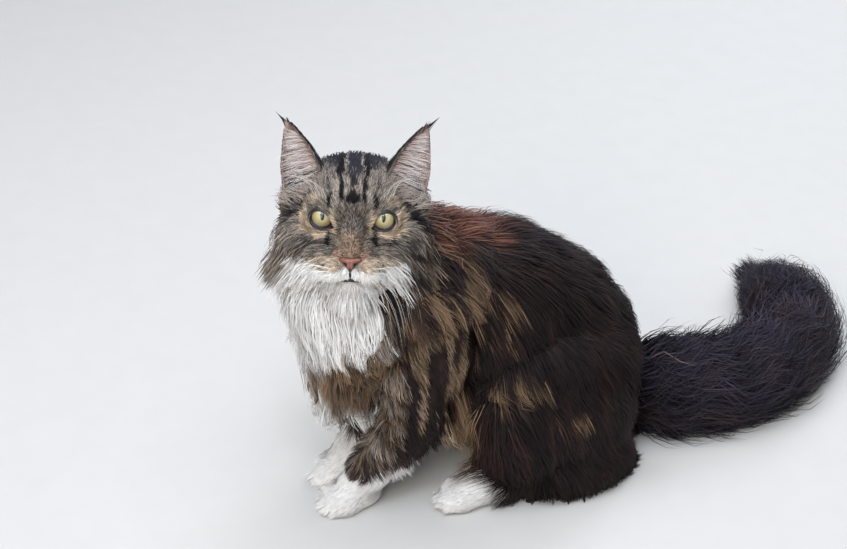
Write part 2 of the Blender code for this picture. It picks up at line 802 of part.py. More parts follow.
def tail_radius(station):
    """The tail's core at a station of its route: widest a third of the way along, thinner at both ends."""
    share = station / (len(TAIL_ROUTE) - 1)
    swell = 0.62 + 0.38 * min(1, share / 0.3)
    taper = 1 - 0.35 * max(0, share - 0.75) / 0.25
    return TAIL_FLESH + long_coat(TAIL_PLUME * swell * taper - TAIL_FLESH)


def tail_station(station):
    """The middle of the tail's core, which lies lower in the plume where that rests on the floor."""
    x, y, z = TAIL_ROUTE[station]
    resting = min(1.0, station / 2)
    return Vector((x, y, z + (tail_radius(station) - 0.0015 - z) * resting))


def tail_length(name, first, last, material):
    """The core of one length of the tail, between two stations of its route."""
    builder = bmesh.new()
    for k in range(first, last):
        add_limb(builder, tail_station(k), tail_radius(k), tail_station(k + 1), tail_radius(k + 1))
    obj = object_from(name, builder, material)
    melt(obj, 0.005, 4, 190)
    cut_floor(obj)
    return obj


def body_lie(point, normal):
    """Back and down: along the spine on the back, and more steeply down on flanks, chest and rump."""
    upright = min(1.0, abs(normal.x) * 1.3 + max(0.0, -normal.y) * 1.2 + max(0.0, normal.y - 0.4) * 1.2)
    return Vector((0, 1, -0.35)).lerp(Vector((0, 0.45, -1)), upright)


def breeches_lie(point, normal):
    """Down and back over the haunch."""
    return Vector((0, 0.45, -1))


def feather_lie(point, normal):
    """Back and down behind the foreleg."""
    return Vector((0, 0.5, -1))


def ruff_lie(point, normal):
    """Away from the face all round, then down."""
    away = (point - in_head(0, 0.035, -0.01)).normalized()
    return away + Vector((0, 0.25, -0.9))


def bib_lie(point, normal):
    """Straight down the chest, fanning out a little."""
    return Vector((point.x * 4, -0.1, -1))


def cheek_lie(point, normal):
    """Back, out and down from the cheek, to either side."""
    side = 1 if (HEAD.inverted() @ point).x > 0 else -1
    return HEAD_TURN @ Vector((side * 0.45, 0.85, -0.55))


def tail_lie(point, normal):
    """Along the tail to its tip."""
    nearest = min(range(len(TAIL_ROUTE) - 1), key=lambda k: (tail_station(k) - point).length)
    return tail_station(nearest + 1) - tail_station(max(0, nearest - 1))


def on_bib(point, normal):
    """Whether a point is on the front of the neck or chest, above the bib's lowest roots."""
    return normal.y < BIB_EDGE and BIB_LAST_ROOT < point.z < 0.275


def on_cheek(point, normal):
    """Whether a point is on the rear half of a cheek, where the short face fur ends."""
    local = HEAD.inverted() @ point
    return 0.030 < local.y < 0.060 and abs(local.x) > 0.030 and local.z < 0.022


def on_tail(point, normal):
    """Whether a point is on the tail where it doesn't rest on the floor, and a lock's length from its end."""
    return normal.z > -0.75 and point.x > TAIL_LAST_ROOT


def behind_foreleg(point, normal):
    """Whether a point is on the rear edge of a foreleg, above its sock."""
    return 0.050 < point.z < 0.125 and normal.y > 0.25


def envelope_of(nodes):
    """A search tree of the outer surface that all the cores make together."""
    whole = copy_of(nodes[0].core)
    boolean(whole, "UNION", [copy_of(node.core) for node in nodes[1:]])
    points = [v.co.copy() for v in whole.data.vertices]
    tree = BVHTree.FromPolygons(points, [list(t.vertices) for t in triangles_of(whole)])
    bpy.data.objects.remove(whole)
    return tree


def dress_ear(node, side):
    """Adds the tuft that stands on past the ear's tip."""
    frame = ear_frame(side)
    out = (frame.to_3x3() @ Vector((side * 0.35, 0.05, 1))).normalized()
    back = frame.to_3x3() @ Vector((0, 1, 0))
    tip = frame @ ear_point(1.0, 0)
    reaches = [EAR_LOCK.length * share - EAR_LOCK.sink for share in lock_shares()]
    node.add_lock([(tip + out * reach, back) for reach in reaches], EAR_LOCK)


def dress(node, coat, draw):
    """Grows the locks that a node's name calls for."""
    name = node.core.name
    if name == "torso":
        grow_locks(node, BODY_LOCK, body_lie, lambda p, n: p.z > 0.04 and n.z > -0.4, coat, draw)
    elif name == "neck":
        grow_locks(node, BIB_LOCK, bib_lie, on_bib, coat, draw)
        grow_locks(node, RUFF_LOCK, ruff_lie, lambda p, n: n.y >= BIB_EDGE and n.z > -0.5, coat, draw)
    elif name == "head":
        grow_locks(node, CHEEK_LOCK, cheek_lie, on_cheek, coat, draw)
    elif name.startswith("thigh"):
        grow_locks(node, BREECHES_LOCK, breeches_lie, lambda p, n: p.z > 0.020, coat, draw)
    elif name.startswith("foreleg"):
        grow_locks(node, FEATHER_LOCK, feather_lie, behind_foreleg, coat, draw)
    elif name.startswith("tail"):
        grow_locks(node, TAIL_LOCK, tail_lie, on_tail, coat, draw)
    elif name.startswith("ear"):
        dress_ear(node, SIDES[name.split("_")[1]])


def main():
    """Builds the cat's cores, grows the locks on them, and cuts each node clear of those before it."""
    clear_scene()
    brown = principled("brown_tabby_coat", (0.060, 0.038, 0.028))
    grey = principled("ticked_face_coat", (0.150, 0.120, 0.095))
    white = principled("white_coat", (0.780, 0.760, 0.720))
    black = principled("black_tail_coat", (0.030, 0.026, 0.028))
    leather = principled("nose_leather", (0.420, 0.140, 0.095), 0.55)
    iris = principled("eye", (0.560, 0.520, 0.200), 0.08)

    face = head(grey)
    cores = [nose(leather, face)]
    cores += [eye(f"eye_{name}", side, iris) for name, side in SIDES.items()]
    cores += [face, neck(white)]
    cores += [ear(f"ear_{name}", side, grey) for name, side in SIDES.items()]
    cores.append(torso(brown))
    cores += [foreleg(f"foreleg_{name}", side, brown) for name, side in SIDES.items()]
    cores += [forepaw(f"forepaw_{name}", side, white) for name, side in SIDES.items()]
    cores += [thigh(f"thigh_{name}", side, brown) for name, side in SIDES.items()]
    cores += [hindfoot(f"hindfoot_{name}", side, white) for name, side in SIDES.items()]
    cores += [tail_length(name, first, last, black) for name, first, last in TAIL_LENGTHS]
    nodes = [Node(core) for core in cores]

    coat = Coat(envelope_of(nodes))
    for node in nodes:
        draw = random.Random(f"{SEED} {node.core.name}")
        node.cutters.append(grown(node.core, GAP))
        dress(node, coat, draw)
        if node.locks:
            boolean(node.core, "UNION", node.locks)
            keep_largest(node.core)
    cut_apart(nodes)


main()
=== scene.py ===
"""A life-size Maine Coon cat that sits and looks up: one skin, and its long coat as mesh tufts, in metres.

The cat faces -Y and its left side is +X. Its head is turned to its left and lifted.
"""

import logging
import math
from collections.abc import Callable, Iterable, Sequence
from dataclasses import dataclass, field
from enum import Enum
import bmesh
import bpy
import numpy as np
from mathutils import Matrix, Vector
from mathutils.bvhtree import BVHTree
from mathutils.kdtree import KDTree


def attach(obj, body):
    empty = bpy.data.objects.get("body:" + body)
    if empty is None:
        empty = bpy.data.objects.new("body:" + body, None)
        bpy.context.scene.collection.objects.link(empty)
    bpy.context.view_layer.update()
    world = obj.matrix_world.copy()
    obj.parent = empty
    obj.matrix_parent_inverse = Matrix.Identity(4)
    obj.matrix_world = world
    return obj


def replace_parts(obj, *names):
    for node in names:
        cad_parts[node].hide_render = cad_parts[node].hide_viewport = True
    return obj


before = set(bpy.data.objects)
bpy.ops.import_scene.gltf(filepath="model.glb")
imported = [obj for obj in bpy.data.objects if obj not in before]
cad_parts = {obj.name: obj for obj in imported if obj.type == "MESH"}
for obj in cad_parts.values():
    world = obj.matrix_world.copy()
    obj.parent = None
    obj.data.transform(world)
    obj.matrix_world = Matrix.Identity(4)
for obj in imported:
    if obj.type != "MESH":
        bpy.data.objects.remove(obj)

log = logging.getLogger("cat")

Array = np.ndarray
Lie = Callable[[Array, Array], Array]

SIDES = {"left": 1, "right": -1}
MM = 0.001
FLOOR_CLEARANCE = 0.0006
COLOUR_NAME = "coat_colour"
BAKE_MAP = "OFBake"
BAKE_PATCH = 0.003

# The head's place: the point between the eyes, and its turn, lift and roll
HEAD = (
    Matrix.Translation((0.0472, -0.2318, 0.3229))
    @ Matrix.Rotation(math.radians(68.5), 4, "Z")
    @ Matrix.Rotation(math.radians(-24.5), 4, "X")
    @ Matrix.Rotation(math.radians(2.2), 4, "Y")
)
HEAD_TURN = HEAD.to_3x3()
HEAD_AXES = np.array(HEAD_TURN)
HEAD_ORIGIN = np.array(HEAD.translation)


class Zone(Enum):
    """The parts of the animal that wear coats of their own."""

    HEAD = 0
    NECK = 1
    TORSO = 2
    FORELEG = 3
    FOREPAW = 4
    THIGH = 5
    HINDFOOT = 6
    TAIL = 7
    EAR = 8


class Hue(Enum):
    """The coat's colours, as sRGB hex values."""

    BLACK = "#131115"
    SLATE = "#2b2b34"
    UMBER = "#1e1415"
    BROWN = "#3d2b26"
    RUST = "#754a3d"
    TAN = "#8d7258"
    GREY = "#6f665e"
    ASH = "#a89d92"
    CREAM = "#dcc6ac"
    PEACH = "#ae8870"
    WHITE = "#f4f2ef"
    PLUME = "#302a38"
    EAR_SKIN = "#b59c92"


def linear(code: str) -> tuple[float, float, float]:
    """Turns an sRGB hex value into linear light.

    Args:
        code: The colour, such as "#93765a".

    Returns:
        Its red, green and blue in linear light.
    """
    shares = [int(code[k : k + 2], 16) / 255 for k in (1, 3, 5)]
    red, green, blue = [s / 12.92 if s <= 0.04045 else ((s + 0.055) / 1.055) ** 2.4 for s in shares]
    return red, green, blue


def ramp(value: Array, low: float, high: float) -> Array:
    """Goes smoothly from 0 where the value is low to 1 where it is high."""
    share = np.clip((value - low) / (high - low), 0.0, 1.0)
    return share * share * (3.0 - 2.0 * share)


def unit(vectors: Array) -> Array:
    """Scales each vector to length 1."""
    return vectors / np.maximum(np.linalg.norm(vectors, axis=-1, keepdims=True), 1e-9)


def flat_on(vectors: Array, normals: Array) -> Array:
    """Takes out of each vector what points along its normal."""
    return vectors - normals * np.sum(vectors * normals, axis=-1, keepdims=True)


def ripple(points: Array, size: float | Sequence[float], seed: int) -> Array:
    """Makes smooth noise over space.

    Args:
        points: Where it is wanted, one point a row.
        size: How far apart its crests are, in metres, for all the axes or for each.
        seed: Which noise.

    Returns:
        A value of about -1 to 1 for each point.
    """
    draw = np.random.default_rng(seed)
    waves = unit(draw.normal(size=(9, 3))) * 2 * math.pi / np.asarray(size)
    phases = draw.uniform(0, 2 * math.pi, 9)
    return np.sin(points @ waves.T + phases).sum(axis=1) / 3.2


def in_head(x: float, y: float, z: float) -> Vector:
    """A point of the head's own frame, whose origin is between the eyes and whose face looks along -Y."""
    return HEAD @ Vector((x, y, z))


def to_head(points: Array) -> Array:
    """Turns points into the head's own frame."""
    return (points - HEAD_ORIGIN) @ HEAD_AXES


def add_node(
    tree: bpy.types.NodeTree, kind: str, inputs: dict[str | int, object] | None = None, **settings: object
) -> bpy.types.Node:
    """Adds a node with its settings and links.

    Args:
        tree: The material's node tree.
        kind: The node's type.
        inputs: For each input, by name or place, the socket that feeds it or its value.
        settings: The node's own properties.

    Returns:
        The new node.
    """
    node = tree.nodes.new(kind)
    for name, value in settings.items():
        setattr(node, name, value)
    for socket, value in (inputs or {}).items():
        if isinstance(value, bpy.types.NodeSocket):
            tree.links.new(value, node.inputs[socket])
        else:
            node.inputs[socket].default_value = value
    return node


def new_material(name: str) -> tuple[bpy.types.Material, bpy.types.Node]:
    """Makes a material with an empty Principled shader, and gives both."""
    material = bpy.data.materials.new(name)
    material.use_nodes = True
    return material, material.node_tree.nodes["Principled BSDF"]


@dataclass(frozen=True)
class Fur:
    """Cat's guard hair: keratin with a smooth scaly cuticle, which gives a soft gloss along the lie."""

    name: str
    roughness: float
    gloss: float
    sheen: float
    grain_mm: float = 3.0
    variation: float = 0.16

    def material(self) -> bpy.types.Material:
        """Builds the material, whose colour comes from the coat's own markings."""
        material, shader = new_material(self.name)
        tree = material.node_tree
        colour = add_node(tree, "ShaderNodeAttribute", attribute_name=COLOUR_NAME)
        place = add_node(tree, "ShaderNodeTexCoord")
        grain = add_node(
            tree,
            "ShaderNodeTexNoise",
            {"Vector": place.outputs["Object"], "Scale": 1 / (self.grain_mm * MM), "Detail": 3.0},
        )
        spread = add_node(
            tree,
            "ShaderNodeMapRange",
            {"Value": grain.outputs[0], 3: 1 - self.variation * 2, 4: 1 + self.variation * 2},
        )
        tinted = add_node(
            tree,
            "ShaderNodeVectorMath",
            {0: colour.outputs["Color"], "Scale": spread.outputs[0]},
            operation="SCALE",
        )
        tree.links.new(tinted.outputs[0], shader.inputs["Base Color"])
        shader.inputs["Roughness"].default_value = self.roughness
        shader.inputs["Specular IOR Level"].default_value = self.gloss
        shader.inputs["Sheen Weight"].default_value = self.sheen
        shader.inputs["Sheen Roughness"].default_value = 0.45
        return material


@dataclass(frozen=True)
class Hide:
    """The hide under the coat: short downy hair lying flat, which looks matt and finely streaked."""

    name: str = "downy_hide"
    strand_mm: float = 1.4
    shade: float = 0.62
    bump_mm: float = 0.5

    def material(self) -> bpy.types.Material:
        """Builds the material, with the coat's markings and a streaky bump."""
        material, shader = new_material(self.name)
        tree = material.node_tree
        colour = add_node(tree, "ShaderNodeAttribute", attribute_name=COLOUR_NAME)
        place = add_node(tree, "ShaderNodeTexCoord")
        streaks = add_node(
            tree,
            "ShaderNodeTexNoise",
            {"Vector": place.outputs["Object"], "Scale": 1 / (self.strand_mm * MM), "Detail": 4.0},
        )
        spread = add_node(tree, "ShaderNodeMapRange", {"Value": streaks.outputs[0], 3: 0.3, 4: 2 * self.shade})
        tinted = add_node(
            tree,
            "ShaderNodeVectorMath",
            {0: colour.outputs["Color"], "Scale": spread.outputs[0]},
            operation="SCALE",
        )
        bump = add_node(
            tree,
            "ShaderNodeBump",
            {"Height": streaks.outputs[0], "Distance": self.bump_mm * MM, "Strength": 0.8},
        )
        tree.links.new(tinted.outputs[0], shader.inputs["Base Color"])
        tree.links.new(bump.outputs[0], shader.inputs["Normal"])
        shader.inputs["Roughness"].default_value = 0.75
        shader.inputs["Specular IOR Level"].default_value = 0.2
        return material


@dataclass(frozen=True)
class DampLeather:
    """Bare damp skin, pebbled by fine papillae: a broad soft gloss, pink where it is thin, black at its edge."""

    name: str
    middle: str
    edge: str
    pebble_mm: float = 0.45
    bump_mm: float = 0.12
    roughness: float = 0.42

    def material(self) -> bpy.types.Material:
        """Builds the material. The mesh's edge attribute says how near the dark edge a point is."""
        material, shader = new_material(self.name)
        tree = material.node_tree
        edge = add_node(tree, "ShaderNodeAttribute", attribute_name="edge")
        place = add_node(tree, "ShaderNodeTexCoord")
        pebbles = add_node(
            tree,
            "ShaderNodeTexVoronoi",
            {"Vector": place.outputs["Object"], "Scale": 1 / (self.pebble_mm * MM)},
        )
        blotches = add_node(
            tree, "ShaderNodeTexNoise", {"Vector": place.outputs["Object"], "Scale": 400.0, "Detail": 2.0}
        )
        uneven = add_node(
            tree,
            "ShaderNodeMath",
            {0: blotches.outputs[0], 1: 0.24, 2: edge.outputs["Fac"]},
            operation="MULTIPLY_ADD",
        )
        share = add_node(tree, "ShaderNodeMapRange", {"Value": uneven.outputs[0], 1: 0.55, 2: 0.95})
        mixed = add_node(
            tree,
            "ShaderNodeMix",
            {0: share.outputs[0], 6: (*linear(self.middle), 1), 7: (*linear(self.edge), 1)},
            data_type="RGBA",
        )
        bump = add_node(
            tree,
            "ShaderNodeBump",
            {"Height": pebbles.outputs["Distance"], "Distance": self.bump_mm * MM, "Strength": 0.6},
        )
        tree.links.new(mixed.outputs[2], shader.inputs["Base Color"])
        tree.links.new(bump.outputs[0], shader.inputs["Normal"])
        shader.inputs["Roughness"].default_value = self.roughness
        shader.inputs["Coat Weight"].default_value = 0.25
        shader.inputs["Coat Roughness"].default_value = 0.3
        return material


@dataclass(frozen=True)
class WetEye:
    """A cat's eye under its clear wet cornea: mirror gloss over a fibrous yellow-green iris with a slit pupil.

    Its pattern is laid out on a map in which the eyeball's radius is half a unit.
    """

    name: str = "wet_eye"
    iris: float = 0.425
    pupil_half_width: float = 0.066
    pupil_half_height: float = 0.160
    fibres: float = 34.0
    inner: str = "#a4a874"
    middle: str = "#bdb282"
    outer: str = "#8f7f56"
    ring: str = "#2b2724"
    white: str = "#6f6778"

    def material(self) -> bpy.types.Material:
        """Builds the material from the distance to the iris's middle, in rings."""
        material, shader = new_material(self.name)
        tree = material.node_tree
        place = add_node(tree, "ShaderNodeUVMap", uv_map="Iris")
        centred = add_node(tree, "ShaderNodeVectorMath", {0: place.outputs[0], 1: (0.5, 0.5, 0)}, operation="SUBTRACT")
        radius = add_node(tree, "ShaderNodeVectorMath", {0: centred.outputs[0]}, operation="LENGTH")
        outward = add_node(tree, "ShaderNodeVectorMath", {0: centred.outputs[0]}, operation="NORMALIZE")
        streaks = add_node(
            tree,
            "ShaderNodeTexNoise",
            {"Vector": outward.outputs[0], "Scale": self.fibres / 4, "Detail": 4.0, "Roughness": 0.7},
        )
        uneven = add_node(
            tree,
            "ShaderNodeMath",
            {0: streaks.outputs[0], 1: 0.07, 2: radius.outputs["Value"]},
            operation="MULTIPLY_ADD",
        )
        rings = add_node(tree, "ShaderNodeValToRGB", {0: uneven.outputs[0]})
        ramp_of = rings.color_ramp
        stops = (
            (0.10, self.inner),
            (0.19, self.middle),
            (self.iris - 0.045, self.outer),
            (self.iris - 0.008, self.ring),
            (self.iris + 0.030, self.ring),
            (self.iris + 0.046, self.white),
        )
        ramp_of.elements[0].position, ramp_of.elements[1].position = stops[0][0], stops[1][0]
        for position, _ in stops[2:]:
            ramp_of.elements.new(position)
        for element, (_, code) in zip(ramp_of.elements, stops):
            element.color = (*linear(code), 1)
        scale = (1 / self.pupil_half_width, 1 / self.pupil_half_height, 1)
        squashed = add_node(tree, "ShaderNodeVectorMath", {0: centred.outputs[0], 1: scale}, operation="MULTIPLY")
        slit = add_node(tree, "ShaderNodeVectorMath", {0: squashed.outputs[0]}, operation="LENGTH")
        open_share = add_node(tree, "ShaderNodeMapRange", {"Value": slit.outputs["Value"], 1: 0.9, 2: 1.12})
        mixed = add_node(
            tree,
            "ShaderNodeMix",
            {0: open_share.outputs[0], 6: (0.004, 0.005, 0.006, 1), 7: rings.outputs[0]},
            data_type="RGBA",
        )
        tree.links.new(mixed.outputs[2], shader.inputs["Base Color"])
        shader.inputs["Roughness"].default_value = 0.35
        shader.inputs["Coat Weight"].default_value = 0.7
        shader.inputs["Coat Roughness"].default_value = 0.02
        shader.inputs["Coat IOR"].default_value = 1.376
        return material


@dataclass(frozen=True)
class Whisker:
    """A whisker: one stiff, thick, waxy hair, which shows as a bright line."""

    name: str = "waxy_whisker"
    colour: str = "#f4f1ea"

    def material(self) -> bpy.types.Material:
        """Builds the material, mottled a little along the hair."""
        material, shader = new_material(self.name)
        tree = material.node_tree
        place = add_node(tree, "ShaderNodeTexCoord")
        mottle = add_node(tree, "ShaderNodeTexNoise", {"Vector": place.outputs["Object"], "Scale": 250.0})
        mixed = add_node(
            tree,
            "ShaderNodeMix",
            {0: mottle.outputs[0], 6: (*linear("#cfc8bc"), 1), 7: (*linear(self.colour), 1)},
            data_type="RGBA",
        )
        tree.links.new(mixed.outputs[2], shader.inputs["Base Color"])
        shader.inputs["Roughness"].default_value = 0.3
        return material


@dataclass(frozen=True)
class Ball:
    """An ellipsoid of flesh."""

    centre: Vector
    radii: tuple[float, float, float]
    turn: Matrix = field(default_factory=lambda: Matrix.Identity(3))

    def add_to(self, builder: bmesh.types.BMesh) -> None:
        """Adds its mesh to a builder."""
        place = Matrix.Translation(self.centre) @ self.turn.to_4x4() @ Matrix.Diagonal((*self.radii, 1.0))
        bmesh.ops.create_uvsphere(builder, u_segments=32, v_segments=16, radius=1.0, matrix=place)

    def distance(self, points: Array) -> Array:
        """How far points are outside it, roughly. Inside is negative."""
        local = (points - np.array(self.centre)) @ np.array(self.turn)
        radii = np.array(self.radii)
        share = np.linalg.norm(local / radii, axis=1)
        slope = np.linalg.norm(local / radii**2, axis=1)
        return share * (share - 1) / np.maximum(slope, 1e-9)


@dataclass(frozen=True)
class Limb:
    """A tapered limb with round ends."""

    start: Vector
    start_radius: float
    end: Vector
    end_radius: float

    def add_to(self, builder: bmesh.types.BMesh) -> None:
        """Adds its mesh to a builder: the hull of two balls."""
        limb = bmesh.new()
        Ball(self.start, (self.start_radius,) * 3).add_to(limb)
        Ball(self.end, (self.end_radius,) * 3).add_to(limb)
        hull = bmesh.ops.convex_hull(limb, input=limb.verts, use_existing_faces=False)
        inside = [v for v in hull["geom_interior"] if isinstance(v, bmesh.types.BMVert)]
        bmesh.ops.delete(limb, geom=inside, context="VERTS")
        kept = {f for f in hull["geom"] if isinstance(f, bmesh.types.BMFace)}
        bmesh.ops.delete(limb, geom=[f for f in limb.faces if f not in kept], context="FACES_ONLY")
        bmesh.ops.recalc_face_normals(limb, faces=limb.faces)
        scrap = bpy.data.meshes.new("limb")
        limb.to_mesh(scrap)
        limb.free()
        builder.from_mesh(scrap)
        bpy.data.meshes.remove(scrap)

    def distance(self, points: Array) -> Array:
        """How far points are outside it. Inside is negative."""
        start = np.array(self.start)
        along = np.array(self.end) - start
        share = np.clip((points - start) @ along / max(float(along @ along), 1e-12), 0.0, 1.0)
        radius = self.start_radius + (self.end_radius - self.start_radius) * share
        return np.linalg.norm(points - start - share[:, None] * along, axis=1) - radius


Form = Ball | Limb


def tilt(degrees: float) -> Matrix:
    """A turn about the left-right axis. Positive lifts the front."""
    return Matrix.Rotation(math.radians(-degrees), 3, "X")


def link(name: str, mesh: bpy.types.Mesh) -> bpy.types.Object:
    """Puts a mesh into the scene as an object."""
    obj = bpy.data.objects.new(name, mesh)
    bpy.context.scene.collection.objects.link(obj)
    return obj


def from_builder(name: str, builder: bmesh.types.BMesh) -> bpy.types.Object:
    """Makes an object from a mesh builder, which is then freed."""
    mesh = bpy.data.meshes.new(name)
    builder.to_mesh(mesh)
    builder.free()
    return link(name, mesh)


def apply_modifiers(obj: bpy.types.Object) -> None:
    """Bakes an object's modifiers into its mesh."""
    graph = bpy.context.evaluated_depsgraph_get()
    baked = bpy.data.meshes.new_from_object(obj.evaluated_get(graph))
    obj.modifiers.clear()
    obj.data = baked


def melted(name: str, forms: Iterable[Form], voxel: float, smoothing: int) -> bpy.types.Object:
    """Melts forms into one smooth skin.

    Args:
        name: The new object's name.
        forms: The overlapping forms.
        voxel: The size of the skin's mesh.
        smoothing: How many times it is smoothed.

    Returns:
        The object.
    """
    builder = bmesh.new()
    for form in forms:
        form.add_to(builder)
    obj = from_builder(name, builder)
    remesh = obj.modifiers.new("melt", "REMESH")
    remesh.mode = "VOXEL"
    remesh.voxel_size = voxel
    smooth = obj.modifiers.new("soften", "SMOOTH")
    smooth.factor = 0.5
    smooth.iterations = smoothing
    apply_modifiers(obj)
    return obj


def cut(obj: bpy.types.Object, cutters: Sequence[bpy.types.Object]) -> None:
    """Cuts objects out of another and removes them."""
    group = bpy.data.collections.new("cutters")
    for cutter in cutters:
        group.objects.link(cutter)
    modifier = obj.modifiers.new("cut", "BOOLEAN")
    modifier.operation = "DIFFERENCE"
    modifier.operand_type = "COLLECTION"
    modifier.collection = group
    modifier.solver = "MANIFOLD"
    apply_modifiers(obj)
    for cutter in cutters:
        bpy.data.objects.remove(cutter)
    bpy.data.collections.remove(group)


def dress_piece(piece: bpy.types.Object, material: bpy.types.Material) -> bpy.types.Object:
    """Gives a piece its material and slot, and lets it ride on the body."""
    piece.data.materials.clear()
    piece.data.materials.append(material)
    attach(piece, "root")
    return piece


@dataclass
class Eyes:
    """The two eyeballs, with a bulging cornea over each iris."""

    spacing: float = 0.051
    radius: float = 0.0118
    cornea: float = 0.0010
    gaze_up: float = 12.5
    gaze_aside: float = 2.0

    def centre(self, side: int) -> Vector:
        """The middle of an eyeball, in the head's frame."""
        return Vector((side * self.spacing / 2, self.radius - 0.0012, 0.0))

    def build(self, finish: WetEye) -> list[bpy.types.Object]:
        """Builds both eyeballs, which take the place of the plain ones."""
        material = finish.material()
        pieces = []
        for name, side in SIDES.items():
            builder = bmesh.new()
            bmesh.ops.create_uvsphere(builder, u_segments=64, v_segments=48, radius=1.0)
            iris = builder.loops.layers.uv.new("Iris")
            for face in builder.faces:
                face.smooth = True
                for loop in face.loops:
                    x, y, z = loop.vert.co
                    loop[iris].uv = (0.5 + x / 2, 0.5 + y / 2) if z > 0 else (0.0, 0.0)
            for vert in builder.verts:
                reach = math.hypot(vert.co.x, vert.co.y)
                bulge = self.cornea * max(0.0, 1 - (reach / 0.72) ** 2) if vert.co.z > 0 else 0.0
                vert.co *= self.radius + bulge
            gaze = (
                Matrix.Rotation(math.radians(self.gaze_aside), 4, "Z")
                @ Matrix.Rotation(math.radians(-self.gaze_up), 4, "X")
                @ Matrix.Rotation(math.radians(90), 4, "X")
            )
            builder.transform(HEAD @ Matrix.Translation(self.centre(side)) @ gaze)
            piece = from_builder(f"eyeball_{name}", builder)
            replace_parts(dress_piece(piece, material), f"eye_{name}")
            pieces.append(piece)
        return pieces


@dataclass
class Lids:
    """The bare dark rims of the lids, round an almond opening whose inner corner is drawn out and low."""

    height: float = -0.0012
    thickness: float = 0.0015
    # How far inward and up from the opening's middle its edge runs, in millimetres
    edge: tuple[tuple[float, float], ...] = (
        (10.4, -6.0),
        (8.6, -0.9),
        (4.6, 4.9),
        (0.2, 7.6),
        (-4.4, 8.0),
        (-8.1, 6.0),
        (-10.2, 1.6),
        (-9.6, -3.2),
        (-6.2, -7.2),
        (0.0, -9.1),
        (6.2, -8.8),
    )

    def outline(self, eyes: Eyes, side: int, steps: int, grow: float = 0.0) -> list[Vector]:
        """Lays the opening's outline on an eyeball.

        Args:
            eyes: The eyes' sizes.
            side: 1 for the left eye, -1 for the right.
            steps: How many points it has.
            grow: How far outside the opening it runs.

        Returns:
            Its points in the head's frame.
        """
        centre = eyes.centre(side)
        count = len(self.edge)
        corners = np.array(self.edge) * MM
        points = []
        for step in range(steps):
            k, t = divmod(step * count / steps, 1.0)
            a, b, c, d = (corners[(int(k) + j - 1) % count] for j in range(4))
            place = b + 0.5 * t * (c - a + t * (2 * a - 5 * b + 4 * c - d + t * (3 * (b - c) + d - a)))
            x, z = place * (1 + grow / float(np.linalg.norm(place)))
            x, z = -side * x, z + self.height
            y = -math.sqrt(max((eyes.radius * 0.35) ** 2, eyes.radius**2 - x * x - z * z))
            points.append(centre + Vector((x, y, z)) * (1 + self.thickness * 0.4 / eyes.radius))
        return points

    def opening(self, eyes: Eyes, side: int) -> bpy.types.Object:
        """The block that cuts the hollow in front of an eyeball."""
        builder = bmesh.new()
        outline = self.outline(eyes, side, 44, -0.0002)
        centre = eyes.centre(side)
        rings = []
        for y, share in ((-0.030, 1.06), (centre.y - eyes.radius * 0.2, 1.0)):
            rings.append(
                [
                    builder.verts.new(
                        HEAD @ Vector((centre.x + (p.x - centre.x) * share, y, self.height + (p.z - self.height) * share))
                    )
                    for p in outline
                ]
            )
        for k in range(len(outline)):
            builder.faces.new((rings[0][k - 1], rings[0][k], rings[1][k], rings[1][k - 1]))
        for ring in rings:
            builder.faces.new(ring)
        bmesh.ops.recalc_face_normals(builder, faces=builder.faces)
        bmesh.ops.triangulate(builder, faces=builder.faces)
        return from_builder("opening", builder)

    def build(self, eyes: Eyes, finish: DampLeather) -> list[bpy.types.Object]:
        """Builds both rims as rounded bands that lie on the eyeballs."""
        material = finish.material()
        pieces = []
        steps, sides = 56, 10
        for name, side in SIDES.items():
            centre = eyes.centre(side)
            path = self.outline(eyes, side, steps, 0.0002)
            builder = bmesh.new()
            rings = []
            for k, point in enumerate(path):
                along = (path[(k + 1) % steps] - path[k - 1]).normalized()
                out = (point - centre).normalized()
                across = along.cross(out)
                angles = [2 * math.pi * j / sides for j in range(sides)]
                spokes = [(out * math.cos(a) * 0.9 + across * math.sin(a) * 1.25) * self.thickness for a in angles]
                rings.append([builder.verts.new(HEAD @ (point + spoke)) for spoke in spokes])
            for k in range(steps):
                for j in range(sides):
                    m = (j + 1) % sides
                    corners = (rings[k - 1][j], rings[k - 1][m], rings[k][m], rings[k][j])
                    builder.faces.new(corners).smooth = True
            bmesh.ops.recalc_face_normals(builder, faces=builder.faces)
            piece = from_builder(f"lids_{name}", builder)
            edge = piece.data.attributes.new("edge", "FLOAT", "POINT")
            edge.data.foreach_set("value", np.ones(len(piece.data.vertices), np.float32))
            pieces.append(dress_piece(piece, material))
        return pieces


